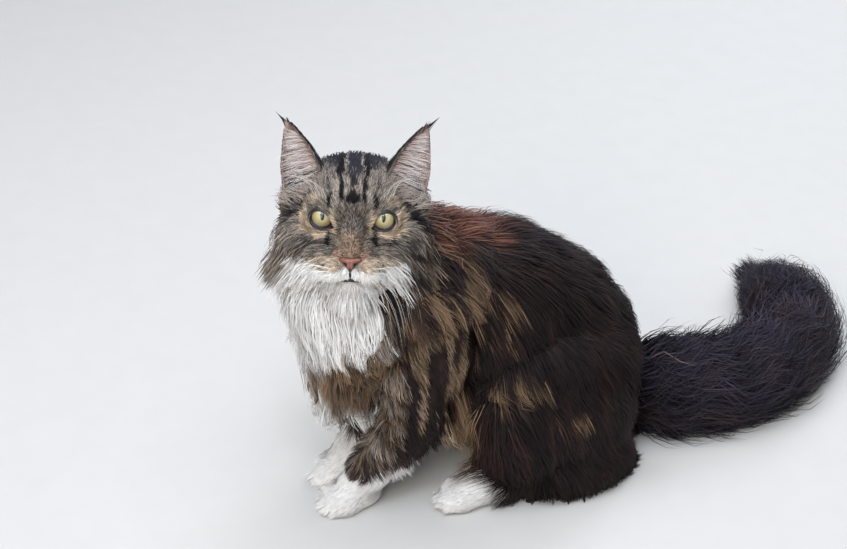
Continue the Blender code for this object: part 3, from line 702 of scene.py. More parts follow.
@dataclass
class Nose:
    """The nose leather: a rounded triangle with a groove down its middle and two comma-shaped nostrils."""

    half_width: float = 0.0098
    top: float = 0.0042
    bottom: float = 0.0080
    height: float = -0.0328
    bulge: float = 0.0042
    rows: int = 30
    columns: int = 36

    def half_at(self, v: float) -> float:
        """Half of the leather's width at a height of 1 (top) to -1 (foot), as a share of the widest."""
        return float(np.interp(v, (-1.0, -0.75, -0.35, 0.1, 0.55, 0.85, 1.0), (0.10, 0.22, 0.52, 0.88, 1.0, 0.86, 0.60)))

    def build(self, front: float, finish: DampLeather) -> bpy.types.Object:
        """Builds the leather on the muzzle.

        Args:
            front: How far forward the muzzle reaches behind it, in the head's frame.
            finish: What it is made of.

        Returns:
            The piece.
        """
        builder = bmesh.new()
        marks, grid = [], []
        for i in range(self.rows + 1):
            v = 1 - 2 * i / self.rows
            row = []
            for j in range(self.columns + 1):
                u = 2 * j / self.columns - 1
                rim = max(abs(u), abs(v)) ** 4
                x = u * self.half_at(v) * self.half_width
                z = self.height + v * (self.top if v > 0 else self.bottom)
                y = front - self.bulge * (1 - abs(u) ** 3.2) * (1 - max(0.0, abs(v) - 0.35) ** 2 * 1.6)
                y += 0.0014 * rim + 0.0024 * u * u - 0.0012 * max(0.0, -v)
                nostril = math.exp(-(((abs(u) - 0.60) / 0.24) ** 2) - ((v + 0.16 + 0.55 * (abs(u) - 0.6)) / 0.24) ** 2)
                groove = math.exp(-((x / 0.0007) ** 2)) * (1 if v < 0.3 else 0.3)
                y += 0.0018 * nostril + 0.0008 * groove
                row.append(builder.verts.new(in_head(x, y, z)))
                low = max(0.0, -v - 0.30) * 1.8
                marks.append(min(1.0, 1.35 * nostril + 0.9 * rim + 0.35 * groove + low))
            grid.append(row)
        for i in range(self.rows):
            for j in range(self.columns):
                corners = (grid[i][j], grid[i + 1][j], grid[i + 1][j + 1], grid[i][j + 1])
                builder.faces.new(corners).smooth = True
        piece = from_builder("nose_pad", builder)
        edge = piece.data.attributes.new("edge", "FLOAT", "POINT")
        edge.data.foreach_set("value", np.array(marks, np.float32))
        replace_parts(dress_piece(piece, finish.material()), "nose")
        return piece


@dataclass
class Flesh:
    """The animal's flesh, as the forms of each part, without its coat."""

    tail_flesh: float = 0.010
    tail_plume: float = 0.053
    face_fur: float = 0.0016
    tail_route: tuple[tuple[float, float, float], ...] = (
        (0.000, 0.026, 0.056),
        (0.014, 0.084, 0.050),
        (0.030, 0.136, 0.034),
        (0.032, 0.188, 0.034),
        (0.018, 0.238, 0.034),
        (-0.014, 0.280, 0.036),
        (-0.058, 0.302, 0.040),
        (-0.104, 0.304, 0.046),
    )

    def torso(self) -> list[Form]:
        """Pelvis, loin, ribs, withers, chest and belly."""
        sizes = (
            ((0, -0.006, 0.074), (0.062, 0.056, 0.070), 0),
            ((0, -0.034, 0.132), (0.060, 0.060, 0.070), 40),
            ((0, -0.084, 0.170), (0.058, 0.070, 0.072), 30),
            ((0, -0.130, 0.204), (0.044, 0.050, 0.054), 0),
            ((0, -0.176, 0.168), (0.046, 0.044, 0.066), 10),
            ((0, -0.170, 0.110), (0.040, 0.038, 0.034), 0),
            ((0, -0.075, 0.088), (0.052, 0.082, 0.050), 10),
            ((0, 0.006, 0.112), (0.050, 0.046, 0.050), 0),
            ((0, -0.046, 0.158), (0.054, 0.058, 0.056), 42),
        )
        return [Ball(Vector(centre), radii, tilt(lift)) for centre, radii, lift in sizes]

    def neck(self) -> list[Form]:
        """The neck, throat and the front of the chest."""
        return [
            Limb(Vector((0, -0.155, 0.210)), 0.044, Vector((0.006, -0.196, 0.262)), 0.040),
            Ball(Vector((0.006, -0.222, 0.232)), (0.050, 0.040, 0.056)),
            Ball(Vector((0.000, -0.225, 0.175)), (0.036, 0.026, 0.040)),
        ]

    def head(self) -> list[Form]:
        """Skull, cheeks, muzzle, chin and brows."""
        sizes = (
            ((0.000, 0.046, 0.011), (0.050, 0.056, 0.041), False),
            ((0.000, 0.032, -0.004), (0.044, 0.032, 0.033), False),
            ((0.000, -0.006, -0.051), (0.015, 0.015, 0.012), False),
            ((0.000, 0.020, -0.040), (0.030, 0.034, 0.022), False),
            ((0.036, 0.038, -0.018), (0.028, 0.030, 0.028), True),
            ((0.0125, -0.012, -0.0405), (0.0155, 0.017, 0.013), True),
            ((0.0235, 0.013, 0.0160), (0.017, 0.012, 0.008), True),
            ((0.0205, 0.013, -0.0160), (0.015, 0.012, 0.008), True),
            ((0.024, 0.030, -0.034), (0.024, 0.030, 0.022), True),
            ((0.042, 0.044, 0.008), (0.021, 0.025, 0.025), True),
            ((0.0255, 0.0106, -0.0006), (0.0153, 0.0152, 0.0150), True),
        )
        forms: list[Form] = []
        for (x, y, z), radii, paired in sizes:
            for side in SIDES.values() if paired else (1,):
                bare = tuple(r - self.face_fur for r in radii)
                forms.append(Ball(in_head(side * x, y, z), bare, HEAD_TURN))
        forms.append(Limb(in_head(0, 0.016, -0.026), 0.0214, in_head(0, -0.013, -0.036), 0.0129))
        forms.append(Limb(in_head(0, 0.012, 0.014), 0.0094, in_head(0, -0.0185, -0.0275), 0.0066))
        return forms

    def paw(self, x: float, y: float, turn: float) -> list[Form]:
        """Four toes and the pad behind them, on the floor."""
        width = 0.0195
        spin = Matrix.Rotation(turn, 3, "Z")
        place = Vector((x, y, 0))
        forms: list[Form] = [Ball(place + spin @ Vector((0, 0.010, 0.013)), (width * 0.80 + 0.0025, 0.0225, 0.0165), spin)]
        for k in range(4):
            across = (k - 1.5) / 1.5
            toe = place + spin @ Vector((across * width * 0.68, 0.006 * across * across - 0.014, 0.0098))
            forms.append(Ball(toe, (width * 0.33 + 0.0004, 0.0134, 0.0108), spin))
        return forms

    def legs(self) -> dict[Zone, list[Form]]:
        """The forms of all four legs and feet."""
        forms: dict[Zone, list[Form]] = {z: [] for z in (Zone.FORELEG, Zone.FOREPAW, Zone.THIGH, Zone.HINDFOOT)}
        for side, (x, y), (u, v) in ((1, (0.029, -0.2300), (0.067, -0.131)), (-1, (-0.0125, -0.2245), (-0.070, -0.128))):
            shoulder, elbow = Vector((side * 0.044, -0.182, 0.150)), Vector((side * 0.043, -0.174, 0.101))
            wrist = Vector((x + 0.002, y + 0.014, 0.040))
            forms[Zone.FORELEG] += [
                Ball(Vector((side * 0.042, -0.160, 0.175)), (0.024, 0.038, 0.056), tilt(-10)),
                Limb(shoulder, 0.028, elbow, 0.024),
                Limb(elbow, 0.023, wrist, 0.0172),
            ]
            forms[Zone.FOREPAW] += [Limb(wrist, 0.0172, Vector((x, y, 0.018)), 0.0178)]
            forms[Zone.FOREPAW] += self.paw(x, y - 0.006, side * math.radians(8))
            hip, knee = Vector((side * 0.040, 0, 0.100)), Vector((side * 0.057, -0.083, 0.077))
            hock = Vector((side * 0.062, 0, 0.034))
            forms[Zone.THIGH] += [
                Limb(hip, 0.042, knee, 0.030),
                Limb(knee, 0.028, hock, 0.024),
                Ball(Vector((side * 0.061, -0.030, 0.066)), (0.028, 0.062, 0.054)),
                Ball(Vector((side * 0.064, -0.026, 0.016)), (0.036, 0.060, 0.020)),
                Ball(Vector((side * 0.064, -0.078, 0.048)), (0.026, 0.034, 0.026)),
                Ball(Vector((side * 0.047, -0.042, 0.116)), (0.033, 0.060, 0.038)),
            ]
            foot = Limb(Vector((side * 0.062, 0.000, 0.017)), 0.0160, Vector((u, v + 0.016, 0.013)), 0.0130)
            forms[Zone.HINDFOOT] += [foot, *self.paw(u, v, side * math.radians(-4))]
        return forms

    def tail_station(self, station: int) -> Vector:
        """The bone's place in the plume, whose core lies on the floor behind the animal."""
        share = station / (len(self.tail_route) - 1)
        swell = 0.62 + 0.38 * min(1, share / 0.3)
        taper = 1 - 0.35 * max(0, share - 0.75) / 0.25
        core = self.tail_flesh + (self.tail_plume * swell * taper - self.tail_flesh) * 0.5
        x, y, z = self.tail_route[station]
        return Vector((x, y, z + (core - 0.0015 - z) * min(1.0, station / 2)))

    def tail(self) -> list[Form]:
        """The tail's bone and muscle, from the rump to its tip."""
        stations = [self.tail_station(k) for k in range(len(self.tail_route))]
        radii = [self.tail_flesh * (1.15 - 0.07 * k) for k in range(len(stations))]
        return [Limb(stations[k], radii[k], stations[k + 1], radii[k + 1]) for k in range(len(stations) - 1)]


@dataclass
class Ear:
    """One ear: a thin cup, open to the front."""

    side: int
    length: float = 0.053
    root: float = 0.012
    thickness: float = 0.0010
    rows: int = 30
    columns: int = 34

    def place(self) -> Matrix:
        """The ear's own frame: origin at its base, Z to the tip, the cup open to -Y."""
        base = Vector((self.side * 0.0415, 0.034, 0.032))
        tip = Vector((self.side * 0.0605, 0.050, 0.078))
        up = (tip - base).normalized()
        rear = Vector((self.side * -0.42, 1, -0.10))
        back = (rear - up * rear.dot(up)).normalized()
        across = back.cross(up)
        return HEAD @ Matrix.Translation(base) @ Matrix((across, back, up)).transposed().to_4x4()

    def point(self, height: float, turn: float, inset: float = 0.0) -> Vector:
        """A point of the shell.

        Args:
            height: 0 at the base to 1 at the tip.
            turn: -1 to 1 from edge to edge.
            inset: 1 on the outer face, -1 on the inner.

        Returns:
            The point, in the ear's frame.
        """
        height = max(0.0, height)
        half = 0.0195 * (1 - height**1.25) ** 0.9 + 0.0012
        depth = 0.0165 * (1 - height) ** 0.8 + 0.0016
        angle = turn * math.radians(112 - 30 * height)
        wall = self.thickness / 2 * inset
        return Vector(
            (
                (half + wall) * math.sin(angle),
                (depth + wall) * math.cos(angle) - depth * 0.35,
                height * (self.length + wall) - 0.004 - self.root * max(0.0, 1 - 3 * height),
            )
        )

    def depth_of(self, points: Array) -> Array:
        """How far points lie towards the outer face: 1 on the mid-surface, less inside the cup."""
        local = (points - np.array(self.place().translation)) @ np.array(self.place().to_3x3())
        rise = local[:, 2] + 0.004
        height = np.where(rise > self.length / 3, rise / self.length, (rise + self.root) / (self.length + 3 * self.root))
        height = np.clip(height, 0.0, 1.0)
        half = 0.0195 * (1 - height**1.25) ** 0.9 + 0.0012
        depth = 0.0165 * (1 - height) ** 0.8 + 0.0016
        return np.hypot(local[:, 0] / half, (local[:, 1] + depth * 0.35) / depth)

    def shell(self) -> bpy.types.Object:
        """Builds the cup."""
        builder = bmesh.new()
        frame_of = self.place()
        grids = []
        for inset in (1, -1):
            grid = []
            for i in range(self.rows + 1):
                points = [self.point(i / self.rows, 2 * j / self.columns - 1, inset) for j in range(self.columns + 1)]
                grid.append([builder.verts.new(frame_of @ point) for point in points])
            grids.append(grid)
        for grid in grids:
            for i in range(self.rows):
                for j in range(self.columns):
                    builder.faces.new((grid[i][j], grid[i][j + 1], grid[i + 1][j + 1], grid[i + 1][j]))
        rim = [(i, 0) for i in range(self.rows)] + [(self.rows, j) for j in range(self.columns)]
        rim += [(i, self.columns) for i in range(self.rows, 0, -1)] + [(0, j) for j in range(self.columns, 0, -1)]
        back, front = grids
        for (i, j), (m, n) in zip(rim, rim[1:] + rim[:1]):
            builder.faces.new((back[i][j], back[m][n], front[m][n], front[i][j]))
        bmesh.ops.recalc_face_normals(builder, faces=builder.faces)
        return from_builder(f"ear_{self.side}", builder)


class Skin:
    """The animal's one skin: its mesh, which part each point belongs to, and a search tree of it."""

    def __init__(self, flesh: Flesh, eyes: Eyes, lids: Lids, ears: Sequence[Ear]) -> None:
        """Builds the skin.

        Args:
            flesh: The forms under it.
            eyes: The eyes' sizes.
            lids: The lids' sizes, for the openings.
            ears: The two ears.
        """
        self.forms: dict[Zone, list[Form]] = {
            Zone.HEAD: flesh.head(),
            Zone.NECK: flesh.neck(),
            Zone.TORSO: flesh.torso(),
            **flesh.legs(),
            Zone.TAIL: flesh.tail(),
        }
        body = [form for zone, forms in self.forms.items() if zone is not Zone.HEAD for form in forms]
        shells = [melted("body", body, 0.0030, 8), melted("face", self.forms[Zone.HEAD], 0.0012, 5)]
        cut(shells[1], [lids.opening(eyes, side) for side in SIDES.values()])
        shells += [ear.shell() for ear in ears]
        self.piece = self.joined(shells)
        self.unwrap()
        self.read()

    def joined(self, shells: Sequence[bpy.types.Object]) -> bpy.types.Object:
        """Joins the shells into one mesh, resting on the floor, and notes which are ears."""
        builder = bmesh.new()
        counts = []
        for shell in shells:
            builder.from_mesh(shell.data)
            counts.append(len(builder.verts))
            bpy.data.objects.remove(shell)
        bmesh.ops.triangulate(builder, faces=builder.faces)
        for vert in builder.verts:
            vert.co.z = max(vert.co.z, FLOOR_CLEARANCE)
        for face in builder.faces:
            face.smooth = True
        self.body_end, self.face_end = counts[0], counts[1]
        return from_builder("skin", builder)

    def unwrap(self) -> None:
        """Unwraps the skin's own shape into flat charts."""
        bpy.ops.object.select_all(action="DESELECT")
        self.piece.select_set(True)
        bpy.context.view_layer.objects.active = self.piece
        self.piece.data.uv_layers.new(name=BAKE_MAP)
        bpy.ops.object.mode_set(mode="EDIT")
        bpy.ops.mesh.select_all(action="SELECT")
        bpy.ops.uv.smart_project(angle_limit=math.radians(66), island_margin=0.002)
        bpy.ops.object.mode_set(mode="OBJECT")
        self.piece.select_set(False)

    def read(self) -> None:
        """Reads the mesh into arrays, and tells the parts apart by their nearest form."""
        mesh = self.piece.data
        count, faces = len(mesh.vertices), len(mesh.polygons)
        points, normals = np.zeros(count * 3, np.float32), np.zeros(count * 3, np.float32)
        mesh.vertices.foreach_get("co", points)
        mesh.vertices.foreach_get("normal", normals)
        corners = np.zeros(faces * 3, np.int32)
        mesh.polygons.foreach_get("vertices", corners)
        uvs = np.zeros(faces * 6, np.float32)
        mesh.uv_layers[BAKE_MAP].data.foreach_get("uv", uvs)
        self.points = points.reshape(-1, 3).astype(float)
        self.normals = normals.reshape(-1, 3).astype(float)
        self.triangles = corners.reshape(-1, 3)
        self.uvs = uvs.reshape(-1, 3, 2)
        self.tree = BVHTree.FromPolygons(self.points.tolist(), self.triangles.tolist())
        self.zones = self.nearest_zones(self.points)
        self.zones[self.body_end : self.face_end] = Zone.HEAD.value
        self.zones[self.face_end :] = Zone.EAR.value
        self.hidden = self.covered_points()

    def nearest_zones(self, points: Array) -> Array:
        """The part whose forms are nearest to each point."""
        zones = [zone for zone in self.forms if zone is not Zone.HEAD]
        gaps = [np.min([form.distance(points) for form in self.forms[zone]], axis=0) for zone in zones]
        return np.array([zone.value for zone in zones])[np.argmin(gaps, axis=0)]

    def covered_points(self) -> Array:
        """Which points of one shell lie inside another."""
        inside_head = np.min([form.distance(self.points) for form in self.forms[Zone.HEAD]], axis=0) < -0.002
        neck = self.forms[Zone.NECK] + self.forms[Zone.TORSO]
        inside_neck = np.min([form.distance(self.points) for form in neck], axis=0) < -0.002
        places = np.arange(len(self.points))
        on_body = places < self.body_end
        return (on_body & inside_head) | (~on_body & inside_neck) | ((places >= self.face_end) & inside_head)

    def smoothed(self, values: Array, rounds: int) -> Array:
        """Spreads values over the skin, so that they change gradually from part to part."""
        edges = np.vstack([self.triangles[:, [0, 1]], self.triangles[:, [1, 2]], self.triangles[:, [2, 0]]])
        count = len(self.points)
        share = np.bincount(edges.ravel(), minlength=count).astype(float)
        columns = values.reshape(count, -1).copy()
        for _ in range(rounds):
            for k in range(columns.shape[1]):
                column = columns[:, k]
                total = np.bincount(edges[:, 0], column[edges[:, 1]], count)
                total += np.bincount(edges[:, 1], column[edges[:, 0]], count)
                columns[:, k] = 0.5 * column + 0.5 * total / np.maximum(share, 1)
        return columns.reshape(values.shape)

    def nearest(self, points: Array) -> tuple[Array, Array]:
        """The nearest places on the skin, and the triangles they are on."""
        found = [self.tree.find_nearest(point) for point in points.tolist()]
        return np.array([hit[0] for hit in found]), np.array([hit[2] for hit in found])

    def paint(self, colours: Array) -> None:
        """Stores a colour for each point."""
        store_colours(self.piece.data, colours)


def store_colours(mesh: bpy.types.Mesh, colours: Array) -> None:
    """Stores a linear colour for each vertex of a mesh."""
    layer = mesh.color_attributes.new(COLOUR_NAME, "FLOAT_COLOR", "POINT")
    rows = np.ones((len(colours), 4), np.float32)
    rows[:, :3] = colours
    layer.data.foreach_set("color", rows.ravel())


@dataclass(frozen=True)
class Mark:
    """A soft-edged patch of the face's markings, on both sides of it, in millimetres from between the eyes."""

    x: float
    z: float
    half_width: float
    half_height: float
    turn: float
    hue: Hue
    strength: float = 1.0

    def cover(self, x: Array, z: Array) -> Array:
        """How far the patch covers points at x to the side and z up, from 0 to 1."""
        a = math.radians(self.turn)
        u, v = x - self.x, z - self.z
        along = (u * math.cos(a) + v * math.sin(a)) / self.half_width
        across = (v * math.cos(a) - u * math.sin(a)) / self.half_height
        return self.strength * ramp(np.hypot(along, across), 1.35, 0.7)


@dataclass(frozen=True)
class Patch:
    """A soft-edged patch of the body's markings: an ellipsoid in space, in metres."""

    centre: tuple[float, float, float]
    radii: tuple[float, float, float]
    hue: Hue
    strength: float = 1.0
    streaky: float = 0.0

    def cover(self, points: Array, streaks: Array) -> Array:
        """How far the patch covers points, with streaks between -1 and 1, from 0 to 1."""
        reach = np.linalg.norm((points - np.array(self.centre)) / np.array(self.radii), axis=1)
        return self.strength * ramp(reach + self.streaky * streaks, 1.3, 0.65)


class Markings:
    """The coat's markings: a classic brown tabby with a white bib, muzzle and feet."""

    face = (
        Mark(30, 26, 16, 16, 0, Hue.ASH, 0.30),
        Mark(0, 60, 46, 24, 0, Hue.SLATE, 1.0),
        Mark(46, 14, 10, 15, 10, Hue.SLATE, 0.55),
        Mark(0, 40, 6.5, 12, 0, Hue.SLATE, 0.9),
        Mark(10.6, 39, 3.1, 9, 4, Hue.BLACK, 1.0),
        Mark(6.6, 43, 1.0, 7.5, 3, Hue.ASH, 0.8),
        Mark(13.0, 17.5, 2.3, 10.5, 0, Hue.ASH, 0.95),
        Mark(5.0, 23, 1.9, 8.5, 0, Hue.ASH, 0.9),
        Mark(0, 15, 6.6, 4.2, 0, Hue.BLACK, 1.0),
        Mark(0, 25, 1.8, 9, 0, Hue.BLACK, 0.8),
        Mark(8.8, 22, 1.6, 12, 0, Hue.BLACK, 1.0),
        Mark(17.2, 13, 1.6, 7, 0, Hue.BLACK, 1.0),
        Mark(20, 27, 1.3, 9, -12, Hue.SLATE, 0.7),
        Mark(31.0, 14, 8, 4.0, -6, Hue.CREAM, 0.45),
        Mark(12.4, -4, 2.2, 10.5, -8, Hue.CREAM, 1.0),
        Mark(27.0, -12.4, 11, 2.4, 8, Hue.CREAM, 1.0),
        Mark(36.6, -6.5, 6.0, 2.2, 54, Hue.CREAM, 0.95),
        Mark(38.4, 1.5, 1.8, 7.0, 10, Hue.CREAM, 0.8),
        Mark(53, -3.5, 12, 2.8, -30, Hue.BLACK, 0.95),
        Mark(53, -12, 9, 2.2, -24, Hue.ASH, 0.7),
        Mark(34, -19.5, 13, 3.6, 6, Hue.SLATE, 0.75),
        Mark(51, -18, 7, 2.6, -12, Hue.ASH, 0.8),
        Mark(51, -26, 11, 3.0, -5, Hue.BLACK, 0.8),
        Mark(57, -42, 8, 4.5, -25, Hue.BLACK, 0.7),
        Mark(16.4, -17, 2.1, 7, 15, Hue.BLACK, 0.95),
        Mark(0, -3, 8, 9, 0, Hue.SLATE, 0.35),
        Mark(0, -18, 9.5, 8, 0, Hue.TAN, 0.7),
        Mark(0, -27, 10.5, 4.0, 0, Hue.PEACH, 0.6),
        Mark(10.5, -30, 3.2, 5.5, 0, Hue.PEACH, 0.6),
        Mark(4, -42, 9, 4.5, 0, Hue.WHITE, 1.0),
        Mark(20, -34.5, 12, 4.4, 4, Hue.CREAM, 0.65),
        Mark(21, -35.5, 3.4, 0.9, -12, Hue.UMBER, 0.8),
        Mark(25, -38.8, 3.4, 0.9, -12, Hue.UMBER, 0.7),
        Mark(14, -43.5, 14, 4.6, 6, Hue.WHITE, 1.0),
        Mark(0, -61, 36, 13, 0, Hue.WHITE, 1.0),
        Mark(0, -52.5, 9, 3.6, 0, Hue.ASH, 0.35),
    )
    body = (
        Patch((0.028, -0.100, 0.288), (0.062, 0.064, 0.030), Hue.RUST, 0.95, 0.30),
        Patch((0.060, -0.180, 0.210), (0.036, 0.026, 0.050), Hue.TAN, 0.75, 1.2),
        Patch((0.074, -0.112, 0.238), (0.040, 0.010, 0.024), Hue.TAN, 0.55, 0.6),
        Patch((0.084, -0.134, 0.200), (0.040, 0.013, 0.030), Hue.TAN, 0.65, 0.6),
        Patch((0.082, -0.086, 0.206), (0.040, 0.008, 0.015), Hue.TAN, 0.55, 0.6),
        Patch((0.088, -0.106, 0.180), (0.040, 0.009, 0.018), Hue.TAN, 0.60, 0.6),
        Patch((0.080, -0.136, 0.130), (0.055, 0.016, 0.046), Hue.TAN, 0.70, 0.6),
        Patch((0.080, -0.136, 0.066), (0.055, 0.018, 0.044), Hue.TAN, 0.70, 0.6),
        Patch((0.100, -0.106, 0.120), (0.034, 0.012, 0.010), Hue.TAN, 0.60, 0.4),
        Patch((0.100, -0.080, 0.131), (0.034, 0.018, 0.008), Hue.TAN, 0.65, 0.4),
        Patch((0.100, -0.038, 0.088), (0.034, 0.013, 0.008), Hue.TAN, 0.65, 0.4),
        Patch((0.045, 0.055, 0.020), (0.060, 0.035, 0.020), Hue.BROWN, 0.8, 0.4),
        Patch((0.000, -0.100, 0.040), (0.050, 0.060, 0.030), Hue.CREAM, 0.7, 0.3),
    )

    def __init__(self, ears: Sequence[Ear]) -> None:
        """Keeps the ears, whose inner and outer faces differ."""
        self.ears = ears

    def blend(self, colours: Array, hue: Hue, share: Array) -> Array:
        """Lays a hue over colours, as far as share says."""
        return colours + (np.array(linear(hue.value)) - colours) * np.clip(share, 0, 1)[:, None]

    def plain(self, count: int, hue: Hue) -> Array:
        """The same hue for so many points."""
        return np.tile(np.array(linear(hue.value)), (count, 1))

    def on_head(self, points: Array) -> Array:
        """The colours of the head and the cheeks' fur."""
        local = to_head(points) * 1000
        x, z = np.abs(local[:, 0]) + 0.6 * ripple(points, 0.009, 3), local[:, 2] + 0.7 * ripple(points, 0.007, 4)
        mottle = ramp(ripple(points, 0.006, 6), -0.9, 0.9)
        colours = self.blend(self.plain(len(points), Hue.GREY), Hue.ASH, mottle * 0.35)
        ruff = ramp(np.abs(local[:, 0]), 48, 60)
        colours = self.blend(colours, Hue.TAN, ruff * 0.55)
        bands = ripple(np.column_stack([x * 0.4, z, z * 0]) * MM, 0.012, 5)
        colours = self.blend(colours, Hue.SLATE, ramp(bands, 0.0, 0.7) * ramp(local[:, 1], 5, 26) * 0.8)
        front = ramp(local[:, 1], 66, 44)
        for mark in self.face:
            colours = self.blend(colours, mark.hue, mark.cover(x, z) * front)
        colours = self.blend(colours, Hue.SLATE, ramp(local[:, 1], 45, 80) * ramp(local[:, 2], -30, 0) * 0.9)
        cheek = ramp(-z + 0.35 * x, 43.5, 47.5) * ramp(x, 22, 27) * ramp(local[:, 1], 66, 44)
        cheek *= np.where(local[:, 0] < 0, ramp(x, 55, 47), ramp(x, 44, 36))
        jowl = ramp(x, 34, 46) * ramp(z, 2, -10) * front
        colours = self.blend(colours, Hue.UMBER, jowl * (local[:, 0] > 0) * ramp(mottle, 0.2, 0.8) * 0.6)
        colours = self.blend(colours, Hue.ASH, jowl * (local[:, 0] < 0) * 0.45)
        return self.blend(colours, Hue.WHITE, cheek)

    def on_neck(self, points: Array, normals: Array) -> Array:
        """The colours of ruff and bib."""
        bands = ripple(points, (0.030, 0.030, 0.012), 8)
        colours = self.blend(self.plain(len(points), Hue.BROWN), Hue.TAN, ramp(bands, 0.0, 0.8) * 0.8)
        colours = self.blend(colours, Hue.BLACK, ramp(bands, 0.0, -0.7) * 0.85)
        behind = ramp(points[:, 1], -0.195, -0.165)
        colours += (self.on_body(points) - colours) * behind[:, None]
        edge = points[:, 1] + 0.35 * np.maximum(points[:, 0] - 0.02, 0) + 0.006 * ripple(points, 0.02, 9)
        foot = points[:, 2] - 0.80 * points[:, 0] + 0.009 * ripple(points, (0.016, 0.016, 0.05), 10)
        colours = self.blend(colours, Hue.TAN, 0.6 * ramp(points[:, 1], -0.192, -0.212) * ramp(foot, 0.165, 0.135))
        between_legs = ramp(foot, 0.116, 0.104) * ramp(points[:, 0], 0.036, 0.022)
        white = ramp(edge, -0.190, -0.204) * np.maximum(ramp(foot, 0.130, 0.142), between_legs)
        return self.blend(colours, Hue.WHITE, white)

    def on_body(self, points: Array) -> Array:
        """The colours of trunk and thighs."""
        streaks = ripple(points, (0.05, 0.011, 0.09), 11)
        colours = self.blend(self.plain(len(points), Hue.UMBER), Hue.BROWN, ramp(streaks, 0, 1.2) * 0.5)
        mirrored = points.copy()
        mirrored[:, 0] = np.abs(mirrored[:, 0])
        for patch in self.body:
            colours = self.blend(colours, patch.hue, patch.cover(mirrored, streaks))
        chest = ramp(points[:, 1], -0.188, -0.212)
        colours = self.blend(colours, Hue.TAN, chest * 0.8 * ramp(ripple(points, 0.02, 12), -0.6, 0.6))
        tuft = ramp(np.abs(points[:, 0] - 0.012), 0.022, 0.010) * ramp(points[:, 1], -0.180, -0.200)
        return self.blend(colours, Hue.WHITE, tuft * ramp(points[:, 2], 0.15, 0.13))

    def on_foreleg(self, points: Array) -> Array:
        """The colours of a foreleg, barred above its white sock."""
        bars = np.sin(points[:, 2] * 2 * math.pi / 0.027 + 0.64 + 0.8 * ripple(points, 0.03, 14))
        colours = self.blend(self.plain(len(points), Hue.TAN), Hue.GREY, ramp(ripple(points, 0.02, 15), -0.6, 0.6) * 0.8)
        colours = self.blend(colours, Hue.ASH, ramp(bars, 0.2, -0.8) * 0.65)
        colours = self.blend(colours, Hue.UMBER, ramp(bars, 0.45, 0.95) * 0.8)
        colours += (self.on_body(points) - colours) * ramp(points[:, 2], 0.145, 0.180)[:, None]
        rear = points[:, 1] + 0.008 * ripple(points, (0.02, 0.02, 0.05), 13)
        colours += (self.on_body(points) - colours) * ramp(rear, -0.212, -0.190)[:, None]
        return self.sock(points, colours)

    def sock(self, points: Array, colours: Array) -> Array:
        """Makes a front foot white below its slanting edge."""
        hollow = points[:, 2] - np.minimum(0.5 * np.abs(points[:, 1] + 0.230), 0.009) + 0.015
        slant = points[:, 2] + 0.55 * (points[:, 1] + 0.215)
        slant += (hollow - slant) * ramp(points[:, 0], 0.005, 0.030) + 0.003 * ripple(points, 0.012, 16)
        rim = self.blend(colours, Hue.BROWN, ramp(slant, 0.070, 0.056))
        return self.blend(rim, Hue.WHITE, ramp(slant, 0.053, 0.047))

    def on_hindfoot(self, points: Array) -> Array:
        """The colours of a hind foot: white toes, brown behind."""
        white = ramp(points[:, 1] + 0.004 * ripple(points, 0.012, 17), -0.082, -0.096)
        return self.blend(self.plain(len(points), Hue.BROWN), Hue.WHITE, white)

    def on_tail(self, points: Array) -> Array:
        """The colours of the tail."""
        cloud = ripple(points, 0.06, 18)
        colours = self.blend(self.plain(len(points), Hue.PLUME), Hue.BROWN, ramp(cloud, 0.0, 1.2) * 0.5)
        return self.blend(colours, Hue.BLACK, ramp(cloud, 0.0, -1.2) * 0.7)

    def on_ear(self, points: Array, normals: Array) -> Array:
        """The colours of an ear: flesh inside, slate behind, black at the rim."""
        depths = [ear.depth_of(points) for ear in self.ears]
        local = to_head(points)
        depth = np.where(local[:, 0] > 0, depths[0], depths[1])
        colours = self.blend(self.plain(len(points), Hue.SLATE), Hue.GREY, ramp(local[:, 2], 0.070, 0.036) * 0.6)
        colours = self.blend(colours, Hue.EAR_SKIN, ramp(depth, 1.01, 0.99))
        return self.blend(colours, Hue.BLACK, ramp(local[:, 2], 0.072, 0.079))

    def colours(self, points: Array, normals: Array, zones: Array) -> Array:
        """The coat's colour at points of the skin.

        Args:
            points: The points.
            normals: The skin's normals there.
            zones: The parts they belong to.

        Returns:
            A linear colour for each.
        """
        makers: dict[Zone, Callable[[Array, Array], Array]] = {
            Zone.HEAD: lambda p, n: self.on_head(p),
            Zone.NECK: self.on_neck,
            Zone.TORSO: lambda p, n: self.on_body(p),
            Zone.THIGH: lambda p, n: self.on_body(p),
            Zone.FORELEG: lambda p, n: self.on_foreleg(p),
            Zone.FOREPAW: lambda p, n: self.sock(p, self.on_foreleg(p)),
            Zone.HINDFOOT: lambda p, n: self.on_hindfoot(p),
            Zone.TAIL: lambda p, n: self.on_tail(p),
            Zone.EAR: self.on_ear,
        }
        colours = np.zeros((len(points), 3))
        for zone, maker in makers.items():
            chosen = zones == zone.value
            if chosen.any():
                colours[chosen] = maker(points[chosen], normals[chosen])
        return colours


@dataclass(frozen=True)
class Pelt:
    """The coat of one part, in metres: its tufts' length, the height of their tips, their width, how many there are,
    how far they gather into locks, how far they stray from the lie in radians, and how far they curl."""

    length: float
    depth: float
    width: float
    count: int
    clump: float
    stray: float
    curl: float
    segments: int = 4


